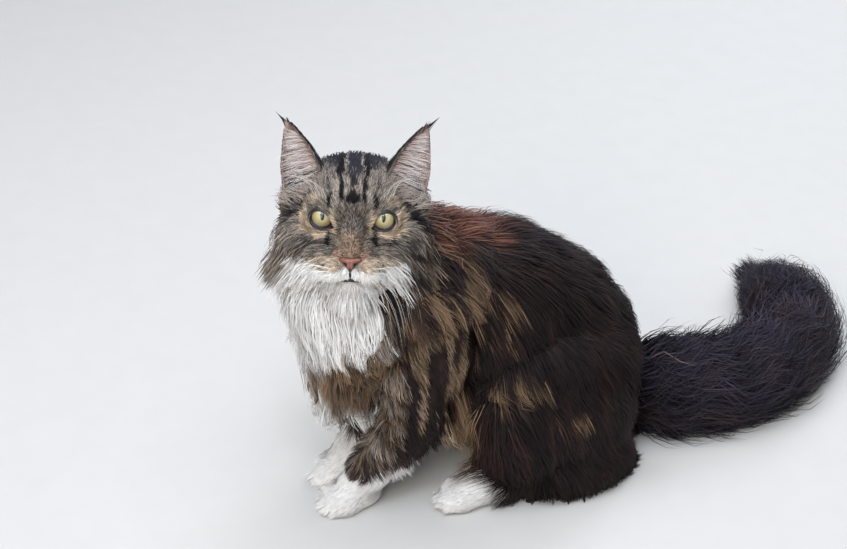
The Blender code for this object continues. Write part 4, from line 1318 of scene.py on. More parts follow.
PELTS = {
    Zone.HEAD: Pelt(0.0085, 0.0017, 0.00072, 70000, 0.22, 0.14, 0.0002, 3),
    Zone.NECK: Pelt(0.050, 0.026, 0.0014, 27000, 0.78, 0.12, 0.0030),
    Zone.TORSO: Pelt(0.060, 0.022, 0.0012, 50000, 0.55, 0.07, 0.0010, 3),
    Zone.FORELEG: Pelt(0.020, 0.0065, 0.0010, 15000, 0.35, 0.12, 0.0005, 3),
    Zone.FOREPAW: Pelt(0.009, 0.0022, 0.0010, 8500, 0.20, 0.14, 0.0002, 3),
    Zone.THIGH: Pelt(0.052, 0.0175, 0.0012, 32000, 0.50, 0.08, 0.0010, 3),
    Zone.HINDFOOT: Pelt(0.009, 0.0022, 0.0010, 7000, 0.20, 0.14, 0.0002, 3),
    Zone.TAIL: Pelt(0.064, 0.050, 0.0013, 32000, 0.45, 0.13, 0.0020),
    Zone.EAR: Pelt(0.006, 0.0007, 0.0006, 8000, 0.10, 0.16, 0.0002, 3),
}


class Groom:
    """How the coat lies: for each point of the skin, its direction, length, depth and width."""

    def __init__(self, skin: Skin, flesh: Flesh) -> None:
        """Works the coat out over the skin.

        Args:
            skin: The skin.
            flesh: The forms, for the tail's direction.
        """
        self.skin = skin
        self.stations = np.array([flesh.tail_station(k) for k in range(len(flesh.tail_route))])
        count = len(skin.points)
        lie, sizes = np.zeros((count, 3)), np.zeros((count, 3))
        makers: dict[Zone, Lie] = {
            Zone.HEAD: self.on_head,
            Zone.NECK: self.on_neck,
            Zone.TORSO: self.on_torso,
            Zone.FORELEG: lambda p, n: np.tile((0.0, 0.35, -1.0), (len(p), 1)),
            Zone.FOREPAW: lambda p, n: np.tile((0.0, -0.8, -0.5), (len(p), 1)),
            Zone.THIGH: lambda p, n: np.tile((0.0, 0.35, -1.0), (len(p), 1)),
            Zone.HINDFOOT: lambda p, n: np.tile((0.0, -1.0, -0.3), (len(p), 1)),
            Zone.TAIL: self.on_tail,
            Zone.EAR: self.on_ear,
        }
        for zone, maker in makers.items():
            chosen = skin.zones == zone.value
            pelt = PELTS[zone]
            lie[chosen] = unit(maker(skin.points[chosen], skin.normals[chosen]))
            sizes[chosen] = (pelt.length, pelt.depth, pelt.width)
        sizes *= self.head_share() * self.tail_share()[:, None]
        self.lie = unit(skin.smoothed(lie, 10))
        self.sizes = skin.smoothed(sizes, 14)
        self.triangle_lie = unit(self.lie[skin.triangles].mean(axis=1))
        self.triangle_normals = unit(skin.normals[skin.triangles].mean(axis=1))

    def head_share(self) -> Array:
        """How much longer, deeper and wider the head's fur gets towards the cheeks and the nape."""
        local = to_head(self.skin.points)
        head = self.skin.zones == Zone.HEAD.value
        back = ramp(local[:, 1], 0.014, 0.062) * ramp(local[:, 2], 0.062, 0.024)
        cheek = ramp(np.abs(local[:, 0]), 0.020, 0.046) * ramp(local[:, 2], 0.010, -0.030)
        chin = ramp(local[:, 2], -0.046, -0.058) + 0.5 * ramp(local[:, 2], -0.034, -0.044) * ramp(local[:, 1], -0.006, 0.006)
        nape = ramp(local[:, 1], 0.045, 0.080) * ramp(local[:, 2], 0.050, 0.020)
        long = np.clip(back * (0.35 + 0.65 * cheek) + 0.8 * chin + 0.35 * cheek + 0.7 * nape, 0, 1)
        nose = ramp(local[:, 1], 0.004, -0.016)
        shares = np.ones((len(local), 3))
        shares[:, 0] = np.where(head, (1 + 2.9 * long) * (1 - 0.45 * nose), 1)
        shares[:, 1] = np.where(head, (1 + 5.5 * long) * (1 - 0.35 * nose), 1)
        shares[:, 2] = np.where(head, 1 + 0.7 * long - 0.15 * nose, 1)
        return shares

    def tail_share(self) -> Array:
        """How much shorter the tail's fur gets towards its tip."""
        end = np.linalg.norm(self.skin.points - self.stations[-1], axis=1)
        tail = self.skin.zones == Zone.TAIL.value
        return np.where(tail, 0.62 + 0.38 * ramp(end, 0.010, 0.080), 1.0)

    def on_head(self, points: Array, normals: Array) -> Array:
        """Flat along the skin away from the nose, down on the cheeks, and off the skin at the ruff."""
        local = to_head(points)
        away = unit(local - np.array((0, -0.030, -0.030)))
        down = ramp(local[:, 2], 0.010, -0.030)[:, None] * np.array((0, 0.1, -0.55))
        ruff = ramp(np.abs(local[:, 0]), 0.036, 0.054) * ramp(local[:, 2], 0.010, -0.018)
        along = unit((away + down) @ HEAD_AXES.T)
        upper = ramp(local[:, 2], -0.044, -0.034)[:, None]
        flat = unit(flat_on(along, normals)) * upper + along * (1 - upper)
        out = np.column_stack([np.sign(local[:, 0]) * 0.60, np.full(len(local), 0.30), np.full(len(local), -0.90)])
        return flat * (1 - 0.8 * ruff[:, None]) + out @ HEAD_AXES.T * ruff[:, None]

    def on_neck(self, points: Array, normals: Array) -> Array:
        """Down the chest on the bib, elsewhere away from the face and then down."""
        away = unit(points - np.array(in_head(0, 0.035, -0.01))) + np.array((0, 0.25, -0.9))
        bib = np.column_stack([(points[:, 0] - 0.004) * 13, np.full(len(points), -0.20), np.full(len(points), -1.0)])
        return unit(away) + (unit(bib) - unit(away)) * ramp(normals[:, 1], -0.15, -0.5)[:, None]

    def on_torso(self, points: Array, normals: Array) -> Array:
        """Back along the spine, and down on the flanks, chest and rump."""
        steep = np.abs(normals[:, 0]) ** 1.5 * 1.2 + np.maximum(0, -normals[:, 1]) * 1.2
        steep = np.clip(steep + np.maximum(0, normals[:, 1] - 0.4) * 1.2, 0, 1)[:, None]
        return np.array((0, 1, -0.35)) * (1 - steep) + np.array((0, 0.40, -1)) * steep

    def on_tail(self, points: Array, normals: Array) -> Array:
        """Along the tail to its tip."""
        gaps = np.linalg.norm(points[:, None] - self.stations[None], axis=2)
        weights = np.exp(-((gaps / 0.03) ** 2)) + 1e-9
        along = unit(np.gradient(self.stations, axis=0))
        return (weights[:, :, None] * along[None]).sum(axis=1) + np.array((0, 0, 0.10))

    def on_ear(self, points: Array, normals: Array) -> Array:
        """Up to the ear's tip."""
        side = np.sign(to_head(points)[:, 0])[:, None]
        return (np.array((0.5, 0.2, 1.0)) * np.hstack([side, side * 0 + 1, side * 0 + 1])) @ HEAD_AXES.T


class Tufts:
    """Flat tapered tufts as arrays, and the meshes made of them."""

    profile = {3: (0.60, 1.0, 0.62), 4: (0.55, 1.0, 0.85, 0.48), 6: (0.7, 1.0, 0.95, 0.8, 0.6, 0.35)}

    def __init__(self, paths: Array, normals: Array, widths: Array, roots: Array, tips: Array, uvs: Array) -> None:
        """Takes the tufts.

        Args:
            paths: The points of each tuft from root to tip, (tufts, points, 3).
            normals: Which way each tuft faces, (tufts, 3).
            widths: Their greatest widths.
            roots: Their colours near the root.
            tips: Their colours at the tip.
            uvs: Their roots' places on the skin's unwrap.
        """
        self.paths, self.normals, self.widths = paths, normals, widths
        self.roots, self.tips, self.uvs = roots, tips, uvs

    def build(self, name: str) -> bpy.types.Object:
        """Makes one mesh of all the tufts."""
        count, points = self.paths.shape[:2]
        segments = points - 1
        along = unit(np.gradient(self.paths, axis=1))
        across = unit(np.cross(along, self.normals[:, None]))
        half = self.widths[:, None, None] * np.array(self.profile[segments])[None, :, None] / 2
        left = self.paths[:, :-1] - across[:, :-1] * half
        right = self.paths[:, :-1] + across[:, :-1] * half
        each = 2 * segments + 1
        verts = np.zeros((count, each, 3))
        verts[:, 0:-1:2], verts[:, 1:-1:2], verts[:, -1] = left, right, self.paths[:, -1]
        verts[:, :, 2] = np.maximum(verts[:, :, 2], FLOOR_CLEARANCE)
        facing = unit(np.cross(across, along))
        round_off = np.zeros((count, each, 3))
        round_off[:, 0:-1:2] = facing[:, :-1] - across[:, :-1] * 0.55
        round_off[:, 1:-1:2] = facing[:, :-1] + across[:, :-1] * 0.55
        round_off[:, -1] = facing[:, -1]
        quads = [(2 * k, 2 * k + 1, 2 * k + 3, 2 * k + 2) for k in range(segments - 1)]
        pattern = np.array([v for quad in quads for v in quad] + [2 * segments - 2, 2 * segments - 1, 2 * segments])
        loops = (np.arange(count)[:, None] * each + pattern[None]).ravel()
        starts = np.arange(0, 4 * segments - 3, 4)
        starts = (np.arange(count)[:, None] * len(pattern) + starts[None]).ravel()
        mesh = bpy.data.meshes.new(name)
        mesh.vertices.add(count * each)
        mesh.vertices.foreach_set("co", verts.astype(np.float32).ravel())
        mesh.loops.add(len(loops))
        mesh.loops.foreach_set("vertex_index", loops.astype(np.int32))
        mesh.polygons.add(len(starts))
        mesh.polygons.foreach_set("loop_start", starts.astype(np.int32))
        mesh.update(calc_edges=True)
        mesh.shade_smooth()
        mesh.normals_split_custom_set_from_vertices(unit(round_off).reshape(-1, 3).tolist())
        shares = np.repeat(np.linspace(0, 1, points), 2)[:-1][:each]
        shares[-1] = 1.0
        colours = self.roots[:, None] + (self.tips - self.roots)[:, None] * shares[None, :, None]
        store_colours(mesh, colours.reshape(-1, 3))
        corners = np.column_stack([np.arange(each) % 2 - 0.5, shares - 0.5])
        corners[-1, 0] = 0.0
        patch = self.uvs[:, None] + corners[None] * BAKE_PATCH
        uv_of = np.clip(patch, 0.0, 1.0).reshape(-1, 2)[loops]
        mesh.uv_layers.new(name=BAKE_MAP).data.foreach_set("uv", uv_of.astype(np.float32).ravel())
        return link(name, mesh)


@dataclass
class Coat:
    """The coat: tufts rooted all over the skin, laid along its lie and gathered into locks."""

    skin: Skin
    groom: Groom
    markings: Markings
    eyes: Eyes
    lids: Lids
    seed: int = 5
    most_in_piece: int = 27000
    guide_share: float = 0.035

    def roots(self, zone: Zone, count: int, draw: np.random.Generator) -> tuple[Array, Array, Array]:
        """Scatters roots over a part of the skin.

        Args:
            zone: The part.
            count: How many are drawn.
            draw: The source of chance.

        Returns:
            Their triangles, their shares of each corner, and their places.
        """
        triangles = self.skin.triangles
        corners = self.skin.points[triangles]
        areas = np.linalg.norm(np.cross(corners[:, 1] - corners[:, 0], corners[:, 2] - corners[:, 0]), axis=1) / 2
        here = (self.skin.zones[triangles] == zone.value).any(axis=1) & ~self.skin.hidden[triangles].all(axis=1)
        weights = areas * here / self.groom.sizes[triangles, 2].mean(axis=1)
        weights *= corners[:, :, 2].mean(axis=1) > 0.002
        chosen = draw.choice(len(triangles), count, p=weights / weights.sum())
        one, two = np.sqrt(draw.random(count)), draw.random(count)
        shares = np.column_stack([1 - one, one * (1 - two), one * two])
        return chosen, shares, np.einsum("ij,ijk->ik", shares, corners[chosen])

    def bare(self, places: Array) -> Array:
        """Which places are on the eyes, lids, nose leather or lips, where no fur grows."""
        local = to_head(places)
        bare = np.zeros(len(places), bool)
        for side in SIDES.values():
            edge = np.array([(p.x, p.z) for p in self.lids.outline(self.eyes, side, 44, 0.0009)])
            x, z = local[:, 0, None], local[:, 2, None]
            along, height = np.roll(edge, -1, axis=0) - edge, z - edge[None, :, 1]
            crossed = (height > 0) != (z - np.roll(edge, -1, axis=0)[None, :, 1] > 0)
            reach = edge[None, :, 0] + height * along[None, :, 0] / np.where(along[:, 1] == 0, 1e-9, along[:, 1])
            bare |= ((crossed & (x < reach)).sum(axis=1) % 2 == 1) & (local[:, 1] < 0.02)
        across, up = np.abs(local[:, 0]), local[:, 2]
        leather = (across < np.interp(up, (-0.0415, -0.0385, -0.0330, -0.0300, -0.0280), (0.0008, 0.0035, 0.0088, 0.0098, 0.0090)))
        leather &= (up > -0.0425) & (up < -0.0284)
        lips = (across < 0.0108) & (np.abs(up + 0.0478 + 0.06 * across) < 0.0019)
        groove = (across < 0.0012) & (up > -0.047) & (up < -0.040)
        return bare | ((leather | lips | groove) & (local[:, 1] < 0.0))

    def grow(self, zone: Zone) -> list[Tufts]:
        """Grows the tufts of one part, in lots small enough for a piece."""
        pelt = PELTS[zone]
        draw = np.random.default_rng([self.seed, zone.value])
        skin, groom = self.skin, self.groom
        chosen, shares, places = self.roots(zone, pelt.count, draw)
        kept = ~self.bare(places) if zone is Zone.HEAD else np.ones(len(places), bool)
        chosen, shares, places = chosen[kept], shares[kept], places[kept]
        corners = skin.triangles[chosen]
        length, depth, width = np.einsum("ij,ijk->ki", shares, groom.sizes[corners])
        normals = unit(np.einsum("ij,ijk->ik", shares, skin.normals[corners]))
        uvs = np.einsum("ij,ijk->ik", shares, skin.uvs[chosen])
        count = len(places)
        length = length * draw.uniform(0.75, 1.15, count)
        loose = draw.random(count) < 0.08
        height = depth * (0.30 + 0.75 * draw.random(count) ** 0.7) * np.where(loose, 2.2 if zone is Zone.HEAD else 1.25, 1.0)
        stray = draw.normal(0, pelt.stray, count)
        paths = self.march(places, normals, chosen, length, height, stray, pelt.segments)
        paths = self.curled(paths, normals, pelt.curl, draw)
        paths, lock = self.gathered(paths, normals, pelt.clump, draw)
        steps = np.linalg.norm(np.diff(paths, axis=1), axis=2).max(axis=1)
        sound = steps < 1.8 * length / pelt.segments + 0.6 * height
        paths, lock, normals, uvs = paths[sound], lock[sound], normals[sound], uvs[sound]
        places, width, count = places[sound], width[sound], int(sound.sum())
        seen = places if zone in (Zone.HEAD, Zone.EAR) else paths[:, -2]
        tones = self.markings.colours(seen, normals, np.full(count, zone.value))
        roots, tips = self.tones(zone, tones * (1 + 0.16 * lock * (tones.mean(axis=1) < 0.4))[:, None], draw)
        roll = unit(normals + draw.normal(0, 0.16, (count, 3)))
        widths = width * draw.uniform(0.75, 1.25, count)
        lots = max(1, math.ceil(count / self.most_in_piece))
        split = np.arange(count) % lots
        return [
            Tufts(paths[split == k], roll[split == k], widths[split == k], roots[split == k], tips[split == k], uvs[split == k])
            for k in range(lots)
        ]

    def march(
        self, places: Array, normals: Array, chosen: Array, length: Array, height: Array, stray: Array, segments: int
    ) -> Array:
        """Lays tufts over the skin.

        Args:
            places: Their roots.
            normals: The skin's normals at the roots.
            chosen: The skin's triangles there.
            length: Their lengths.
            height: How high their tips stand.
            stray: How far each turns from the lie, in radians.
            segments: How many steps each takes.

        Returns:
            Their paths, (tufts, points, 3).
        """
        base, facing, found = places, normals, chosen
        paths = [places - normals * 0.0006]
        for k in range(1, segments + 1):
            lie = self.groom.triangle_lie[found]
            leave = ramp(np.sum(lie * facing, axis=1), 0.35, 0.85)[:, None]
            flat = unit(flat_on(lie, facing))
            flat = flat * np.cos(stray)[:, None] + np.cross(facing, flat) * np.sin(stray)[:, None]
            step = (flat * (1 - leave) + lie * leave) * (length / segments)[:, None]
            snapped, found = self.skin.nearest(base + step)
            base = (base + step) * leave + snapped * (1 - leave)
            facing = unit(facing * leave + self.groom.triangle_normals[found] * (1 - leave))
            share = k / segments
            paths.append(base + facing * (height * (1 - (1 - share) ** 2.1))[:, None])
        return np.stack(paths, axis=1)

    def curled(self, paths: Array, normals: Array, curl: float, draw: np.random.Generator) -> Array:
        """Bends tufts sideways in a lazy wave."""
        count, points = paths.shape[:2]
        share = np.linspace(0, 1, points)[None]
        across = unit(np.cross(paths[:, -1] - paths[:, 0], normals))
        phase = draw.uniform(0, 2 * math.pi, (count, 1))
        wave = np.sin(phase + share * 4.0) - np.sin(phase)
        return paths + across[:, None] * (wave * curl * share)[:, :, None]

    def gathered(
        self, paths: Array, normals: Array, clump: float, draw: np.random.Generator
    ) -> tuple[Array, Array]:
        """Draws tufts' tips together towards that of the nearest guide, into locks.

        Args:
            paths: The tufts' paths.
            normals: The skin's normals at their roots.
            clump: How far the tips are drawn together, from 0 to 1.
            draw: The source of chance.

        Returns:
            The new paths, and a random value of each tuft's lock.
        """
        count, points = paths.shape[:2]
        guides = draw.choice(count, max(8, int(count * self.guide_share)), replace=False)
        tree = KDTree(len(guides))
        for k, guide in enumerate(guides.tolist()):
            tree.insert(paths[guide, 0].tolist(), k)
        tree.balance()
        nearest = guides[np.array([tree.find(root)[1] for root in paths[:, 0].tolist()])]
        share = np.linspace(0, 1, points)[None, :, None]
        offset = (paths[:, 0] - paths[nearest, 0])[:, None]
        target = paths[nearest] + offset * (1 - 0.85 * share)
        alike = ramp(np.sum(normals * normals[nearest], axis=1), 0.5, 0.85)[:, None, None]
        strength = clump * draw.uniform(0.6, 1.3, (count, 1, 1))
        drawn = paths + (target - paths) * np.clip(strength, 0, 1) * alike * share**1.3
        return drawn, draw.normal(0, 1, count)[nearest]

    def tones(self, zone: Zone, tones: Array, draw: np.random.Generator) -> tuple[Array, Array]:
        """Gives each tuft its own shade, from a darker root to a paler or black tip."""
        count = len(tones)
        bright = tones.mean(axis=1)
        agouti = zone in (Zone.HEAD, Zone.FORELEG)
        ticked = ramp(bright, 0.75, 0.30) * ramp(bright, 0.02, 0.08) * (1.0 if agouti else 0.10 if zone is Zone.EAR else 0.35)
        shade = 1 + draw.normal(0, 1, count) * (0.06 + 0.30 * ticked)
        shade = np.clip(shade, 0.30, 2.0)[:, None]
        pale = (draw.random(count) < 0.30 * ticked)[:, None]
        ash = np.array(linear(Hue.ASH.value if agouti else Hue.TAN.value))
        tips = np.where(pale, tones * 0.35 + ash * 0.75, tones * shade)
        tips = np.where((draw.random(count) < 0.20 * ticked)[:, None], tones * 0.20, tips)
        roots = tones * np.where(bright > 0.4, 0.85, 0.60)[:, None] * shade
        return roots, tips * 1.05

    def build(self, finishes: dict[Zone, Fur]) -> list[bpy.types.Object]:
        """Builds every part's tufts.

        Args:
            finishes: What each part's fur is made of.

        Returns:
            The pieces.
        """
        materials: dict[str, bpy.types.Material] = {}
        pieces = []
        for zone in PELTS:
            finish = finishes[zone]
            if finish.name not in materials:
                materials[finish.name] = finish.material()
            for k, tufts in enumerate(self.grow(zone)):
                piece = tufts.build(f"fur_{zone.name.lower()}_{k + 1}")
                pieces.append(dress_piece(piece, materials[finish.name]))
                log.info("%s: %d tufts, %d faces", piece.name, len(tufts.paths), len(piece.data.polygons))
        return pieces


def bezier(points: Sequence[Vector], count: int) -> list[Vector]:
    """So many points along the curve that three points steer."""
    shares = [k / (count - 1) for k in range(count)]
    a, b, c = points
    return [a * (1 - t) ** 2 + b * (2 * t * (1 - t)) + c * t**2 for t in shares]


@dataclass
class Whiskers:
    """The whiskers of lip and brow: stiff tapered hairs that arch out and droop."""

    thickness: float = 0.00042
    on_lip: int = 14
    on_brow: int = 5
    seed: int = 9

    def add_hair(self, builder: bmesh.types.BMesh, path: Sequence[Vector], thickness: float) -> None:
        """Adds one three-sided hair that tapers to a point."""
        rings = []
        for k, point in enumerate(path[:-1]):
            along = (path[k + 1] - point).normalized()
            across = along.orthogonal().normalized()
            third = along.cross(across)
            radius = thickness / 2 * (1 - k / len(path)) ** 0.6
            angles = [2 * math.pi * j / 3 for j in range(3)]
            rings.append([builder.verts.new(point + (across * math.cos(a) + third * math.sin(a)) * radius) for a in angles])
        tip = builder.verts.new(path[-1])
        for one, two in zip(rings, rings[1:]):
            for j in range(3):
                builder.faces.new((one[j], one[(j + 1) % 3], two[(j + 1) % 3], two[j]))
        for j in range(3):
            builder.faces.new((rings[-1][j], rings[-1][(j + 1) % 3], tip))

    def build(self, skin: Skin, finish: Whisker) -> bpy.types.Object:
        """Builds all the whiskers as one piece."""
        draw = np.random.default_rng(self.seed)
        builder = bmesh.new()
        for side in SIDES.values():
            for k in range(self.on_lip):
                row, place = k % 4, k // 4
                x, z = side * (0.0125 + 0.0030 * place), -0.0390 - 0.0022 * row
                root = skin.tree.ray_cast(in_head(x, -0.08, z), HEAD_TURN @ Vector((0, 1, 0)))[0]
                reach = draw.uniform(0.038, 0.052) * (0.85 + 0.05 * place)
                out = Vector((side * (0.52 + 0.16 * draw.random()), 0.0, 0.30 - 0.15 * row)) * reach
                droop = Vector((side * (0.08 + 0.20 * draw.random()), 0.24, -0.75 - 0.15 * row - 0.3 * draw.random())) * reach
                path = bezier((root, root + HEAD_TURN @ out, root + HEAD_TURN @ (out + droop)), 12)
                self.add_hair(builder, path, self.thickness * draw.uniform(0.8, 1.2))
            for k in range(self.on_brow):
                x = side * (0.0215 + 0.0028 * k)
                root = skin.tree.ray_cast(in_head(x, -0.08, 0.0150 + 0.0009 * k), HEAD_TURN @ Vector((0, 1, 0)))[0]
                reach = draw.uniform(0.030, 0.044)
                out = Vector((side * (0.05 + 0.2 * draw.random()), -0.25, 0.50 + 0.2 * draw.random())) * reach
                droop = Vector((side * (0.55 + 0.3 * draw.random()), 0.55, 0.02 - 0.3 * draw.random())) * reach
                path = bezier((root, root + HEAD_TURN @ out, root + HEAD_TURN @ (out + droop)), 10)
                self.add_hair(builder, path, self.thickness * 0.75)
        piece = from_builder("whiskers", builder)
        return dress_piece(piece, finish.material())


@dataclass
class EarHair:
    """The long hair of the ears: pale streamers over the cup, and the black tuft on the tip."""

    ears: Sequence[Ear]
    streamers: int = 300
    base_hairs: int = 260
    back_hairs: int = 260
    tip_hairs: int = 90
    seed: int = 12

    def stream(self, ear: Ear, draw: np.random.Generator) -> list[Vector]:
        """One hair from the inner margin across the cup and out past the outer margin."""
        height = draw.uniform(0.02, 0.90)
        start = ear.point(height * 0.85, -ear.side * draw.uniform(0.10, 1.0), -1)
        edge = ear.point(min(0.97, height + draw.uniform(-0.05, 0.10)), ear.side * 0.97, -1)
        wisp = 0.004 + 0.013 * max(0.0, math.sin(height * 17.0)) ** 3
        end = edge + Vector((ear.side * draw.uniform(-0.004, wisp) * (1.25 - height), -0.002, draw.uniform(-0.003, 0.001)))
        if draw.random() < 0.60:
            end = start.lerp(end, draw.uniform(0.35, 0.8))
        lift = Vector((0, -draw.uniform(0.0005, 0.003), draw.uniform(0.001, 0.004)))
        return bezier((start, (start + end) / 2 + lift, end), 7)

    def base(self, ear: Ear, draw: np.random.Generator) -> list[Vector]:
        """One long hair from the foot of the cup, up and outward over its opening."""
        turn = draw.uniform(-1.0, 1.0)
        foot = ear.point(0.0, -1).lerp(ear.point(0.0, 1), (turn + 1) / 2)
        start = foot + Vector((0, draw.uniform(-0.003, 0.006), draw.uniform(-0.006, 0.004)))
        out = Vector((ear.side * draw.uniform(0.1, 0.9), draw.uniform(-0.25, 0.0), draw.uniform(0.5, 1.0))).normalized()
        reach = draw.uniform(0.007, 0.016)
        bend = Vector((ear.side * 0.35, 0.1, -0.15)) * reach
        return bezier((start, start + out * reach * 0.5, start + out * reach + bend), 7)

    def back(self, ear: Ear, draw: np.random.Generator) -> list[Vector]:
        """One short hair of the ear's back, along its inner margin, that runs up to the tip."""
        height, turn = draw.uniform(0.0, 0.92) ** 0.8, -ear.side * draw.uniform(0.55, 1.02)
        start = ear.point(height, turn, 1)
        end = ear.point(min(1.0, height + draw.uniform(0.10, 0.18)), turn * 0.96, 1)
        off = Vector((-ear.side * draw.uniform(0.0004, 0.0018), draw.uniform(-0.0004, 0.0012), 0))
        return bezier((start, (start + end) / 2 + off, end + off), 7)

    def tuft(self, ear: Ear, draw: np.random.Generator) -> list[Vector]:
        """One hair of the tuft at the tip."""
        start = ear.point(draw.uniform(0.84, 1.0), draw.uniform(-0.6, 0.6), 1)
        reach = draw.uniform(0.004, 0.018)
        out = Vector((ear.side * 0.50, draw.uniform(-0.03, 0.03), 1.0)).normalized() * reach
        return bezier((start, ear.point(1.0, 0) * 0.7 + start * 0.3 + out * 0.3, ear.point(1.0, 0) + out), 7)

    def build(self, pale: Fur, dark: Fur) -> list[bpy.types.Object]:
        """Builds the hair of both ears."""
        draw = np.random.default_rng(self.seed)
        pieces = []
        kinds = (
            ("ear_streamers", self.stream, self.streamers, (Hue.EAR_SKIN, Hue.WHITE), 0.00036, pale, "white_coat"),
            ("ear_bases", self.base, self.base_hairs, (Hue.ASH, Hue.ASH), 0.00045, pale, "ticked_face_coat"),
            ("ear_backs", self.back, self.back_hairs, (Hue.BLACK, Hue.BLACK), 0.00055, dark, "ticked_face_coat"),
            ("ear_tips", self.tuft, self.tip_hairs, (Hue.BLACK, Hue.BLACK), 0.00050, dark, "black_tail_coat"),
        )
        for name, maker, count, (root, tip), width, finish, slot in kinds:
            paths, normals, uvs = [], [], []
            for k, ear in enumerate(self.ears):
                place = ear.place()
                facing = place.to_3x3() @ Vector((0, -1, 0))
                for _ in range(count):
                    paths.append([place @ point for point in maker(ear, draw)])
                    normals.append(facing)
                    uvs.append((0.25 + 0.5 * k + draw.uniform(-0.2, 0.2), draw.uniform(0.05, 0.95)))
            total = len(paths)
            shade = draw.uniform(0.75, 1.1, (total, 1))
            tufts = Tufts(
                np.array(paths),
                unit(np.array(normals) + draw.normal(0, 0.3, (total, 3))),
                width * draw.uniform(0.7, 1.3, total),
                np.array(linear(root.value))[None] * shade,
                np.array(linear(tip.value))[None] * shade,
                np.array(uvs),
            )
            pieces.append(dress_piece(tufts.build(name), finish.material()))
        return pieces


@dataclass
class Mouth:
    """The dark edge of the lips, an upturned Y below the nose."""

    half_width: float = 0.0110
    height: float = -0.0470
    thickness: float = 0.0017

    def build(self, skin: Skin, finish: DampLeather) -> bpy.types.Object:
        """Builds the lip edges and the groove above them as thin bands set in the muzzle."""
        builder = bmesh.new()
        front = HEAD_TURN @ Vector((0, 1, 0))
        across = [self.half_width * (k / 8 - 1) for k in range(17)]
        lines = [
            [(x, self.height - 0.0014 * math.sin(min(1, abs(x) / 0.009) * math.pi / 2)) for x in across],
            [(0.0, self.height + 0.0068 * k / 6) for k in range(7)],
        ]
        for line in lines:
            path = [skin.tree.ray_cast(in_head(x, -0.08, z), front)[0] for x, z in line]
            rings = []
            for k, point in enumerate(path):
                before, after = path[max(0, k - 1)], path[min(len(path) - 1, k + 1)]
                along = (after - before).normalized()
                side = along.cross(front).normalized()
                swell = self.thickness * (0.20 + 0.80 * math.sin(math.pi * (k + 0.5) / len(path)) ** 1.5)
                swell *= 1.0 if len(path) == 17 else 0.55
                angles = [2 * math.pi * j / 8 for j in range(8)]
                rings.append(
                    [builder.verts.new(point + side * math.cos(a) * swell * 1.3 + front * math.sin(a) * swell) for a in angles]
                )
            for one, two in zip(rings, rings[1:]):
                for j in range(8):
                    builder.faces.new((one[j], one[(j + 1) % 8], two[(j + 1) % 8], two[j])).smooth = True
        bmesh.ops.recalc_face_normals(builder, faces=builder.faces)
        piece = from_builder("lips", builder)
        edge = piece.data.attributes.new("edge", "FLOAT", "POINT")
        edge.data.foreach_set("value", np.ones(len(piece.data.vertices), np.float32))
        return dress_piece(piece, finish.material())


@dataclass
class Studio:
    """A plain pale floor, soft lights and the camera at the photograph's angle."""

    azimuth: float = 68.0
    elevation: float = 33.0
    distance: float = 1.45
    focal_pixels: float = 1600.0
    width_pixels: float = 847.0
    target: tuple[float, float, float] = (0.0, -0.149, 0.22)
    floor_colour: str = "#c9c8c4"

    def build_floor(self) -> None:
        """Lays the floor, with the faint mottle of painted board."""
        material, shader = new_material("painted_board")
        tree = material.node_tree
        place = add_node(tree, "ShaderNodeTexCoord")
        mottle = add_node(tree, "ShaderNodeTexNoise", {"Vector": place.outputs["Object"], "Scale": 30.0})
        mixed = add_node(
            tree,
            "ShaderNodeMix",
            {0: mottle.outputs[0], 6: (*linear(self.floor_colour), 1), 7: (*linear("#cecdc9"), 1)},
            data_type="RGBA",
        )
        tree.links.new(mixed.outputs[2], shader.inputs["Base Color"])
        shader.inputs["Roughness"].default_value = 0.9
        builder = bmesh.new()
        bmesh.ops.create_grid(builder, x_segments=1, y_segments=1, size=8.0)
        floor = from_builder("floor", builder)
        floor.data.materials.append(material)

    def add_light(self, name: str, place: Vector, size: float, power: float, colour: str) -> None:
        """Adds a soft area light that faces the animal."""
        light = bpy.data.lights.new(name, "AREA")
        light.size = size
        light.energy = power
        light.color = linear(colour)
        lamp = bpy.data.objects.new(name, light)
        lamp.location = place
        lamp.rotation_euler = (Vector((0, -0.05, 0.15)) - place).to_track_quat("-Z", "Y").to_euler()
        bpy.context.scene.collection.objects.link(lamp)

    def build(self) -> None:
        """Builds the floor, the lights, the world and the camera."""
        scene = bpy.context.scene
        self.build_floor()
        self.add_light("sky_light", Vector((0.2, -0.4, 2.6)), 2.4, 62.0, "#f4f7ff")
        self.add_light("key_light", Vector((1.9, -1.7, 1.7)), 1.2, 30.0, "#fff9f0")
        self.add_light("rim_light", Vector((-1.2, 1.6, 1.5)), 1.0, 22.0, "#eef3ff")
        self.add_light("catch_light", Vector((0.80, -0.56, 2.10)), 0.34, 9.0, "#dfeaff")
        world = bpy.data.worlds.new("pale_room")
        world.use_nodes = True
        world.node_tree.nodes["Background"].inputs[0].default_value = (0.80, 0.84, 0.90, 1)
        world.node_tree.nodes["Background"].inputs[1].default_value = 0.42
        scene.world = world
        scene.view_settings.view_transform = "Standard"
        a, e = math.radians(self.azimuth), math.radians(self.elevation)
        back = Vector((math.sin(a) * math.cos(e), -math.cos(a) * math.cos(e), math.sin(e)))
        camera = bpy.data.cameras.new("camera")
        camera.sensor_width = 36.0
        camera.lens = self.focal_pixels / self.width_pixels * camera.sensor_width
        camera.clip_start = 0.05
        eye = bpy.data.objects.new("camera", camera)
        eye.location = Vector(self.target) + back * self.distance
        eye.rotation_euler = (-back).to_track_quat("-Z", "Y").to_euler()
        scene.collection.objects.link(eye)
        scene.camera = eye


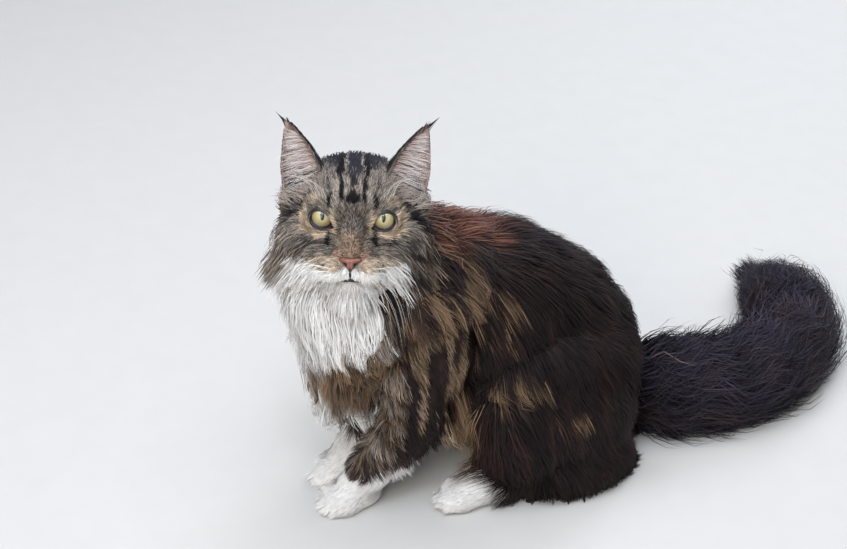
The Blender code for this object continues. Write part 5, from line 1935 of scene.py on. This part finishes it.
def main() -> None:
    """Builds the cat from the skin outwards, and reports each piece."""
    logging.basicConfig(level=logging.INFO, format="%(message)s")
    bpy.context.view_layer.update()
    flesh, eyes, lids = Flesh(), Eyes(), Lids()
    ears = [Ear(side) for side in SIDES.values()]
    skin = Skin(flesh, eyes, lids, ears)
    markings = Markings(ears)
    skin.paint(markings.colours(skin.points, skin.normals, skin.zones))
    dress_piece(skin.piece, Hide().material())
    replaced = ["head", "neck", "torso", "tail_root", "tail_middle", "tail_tip"]
    for part in ("ear", "foreleg", "forepaw", "thigh", "hindfoot"):
        replaced += [f"{part}_{name}" for name in SIDES]
    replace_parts(skin.piece, *replaced)
    log.info("skin: %d points", len(skin.points))

    leather = DampLeather("damp_nose_leather", "#8a5748", "#171113")
    rim = DampLeather("dark_lid_skin", "#2a2026", "#1a1418", roughness=0.35)
    for piece in eyes.build(WetEye()) + lids.build(eyes, rim):
        log.info("%s: built", piece.name)
    muzzle = skin.tree.ray_cast(in_head(0, -0.08, Nose.height), HEAD_TURN @ Vector((0, 1, 0)))[0]
    Nose().build((HEAD.inverted() @ muzzle).y, leather)
    Mouth().build(skin, rim)

    coat = Coat(skin, Groom(skin, flesh), markings, eyes, lids)
    body_fur = Fur("dark_guard_hair", 0.56, 0.20, 0.0, variation=0.10)
    white_fur = Fur("white_guard_hair", 0.60, 0.20, 0.10, variation=0.03)
    face_fur = Fur("ticked_face_hair", 0.62, 0.15, 0.0, grain_mm=1.2, variation=0.20)
    tail_fur = Fur("loose_plume_hair", 0.50, 0.22, 0.05, variation=0.10)
    finishes = {zone: body_fur for zone in PELTS}
    finishes |= {Zone.HEAD: face_fur, Zone.EAR: face_fur, Zone.NECK: white_fur, Zone.TAIL: tail_fur}
    finishes |= {Zone.FOREPAW: white_fur, Zone.HINDFOOT: white_fur}
    pieces = coat.build(finishes)
    pieces += EarHair(ears).build(white_fur, tail_fur)
    pieces.append(Whiskers().build(skin, Whisker()))
    for piece in pieces:
        log.info("%s: %d faces", piece.name, len(piece.data.polygons))
    Studio().build()


if __name__ == "__main__":
    main()
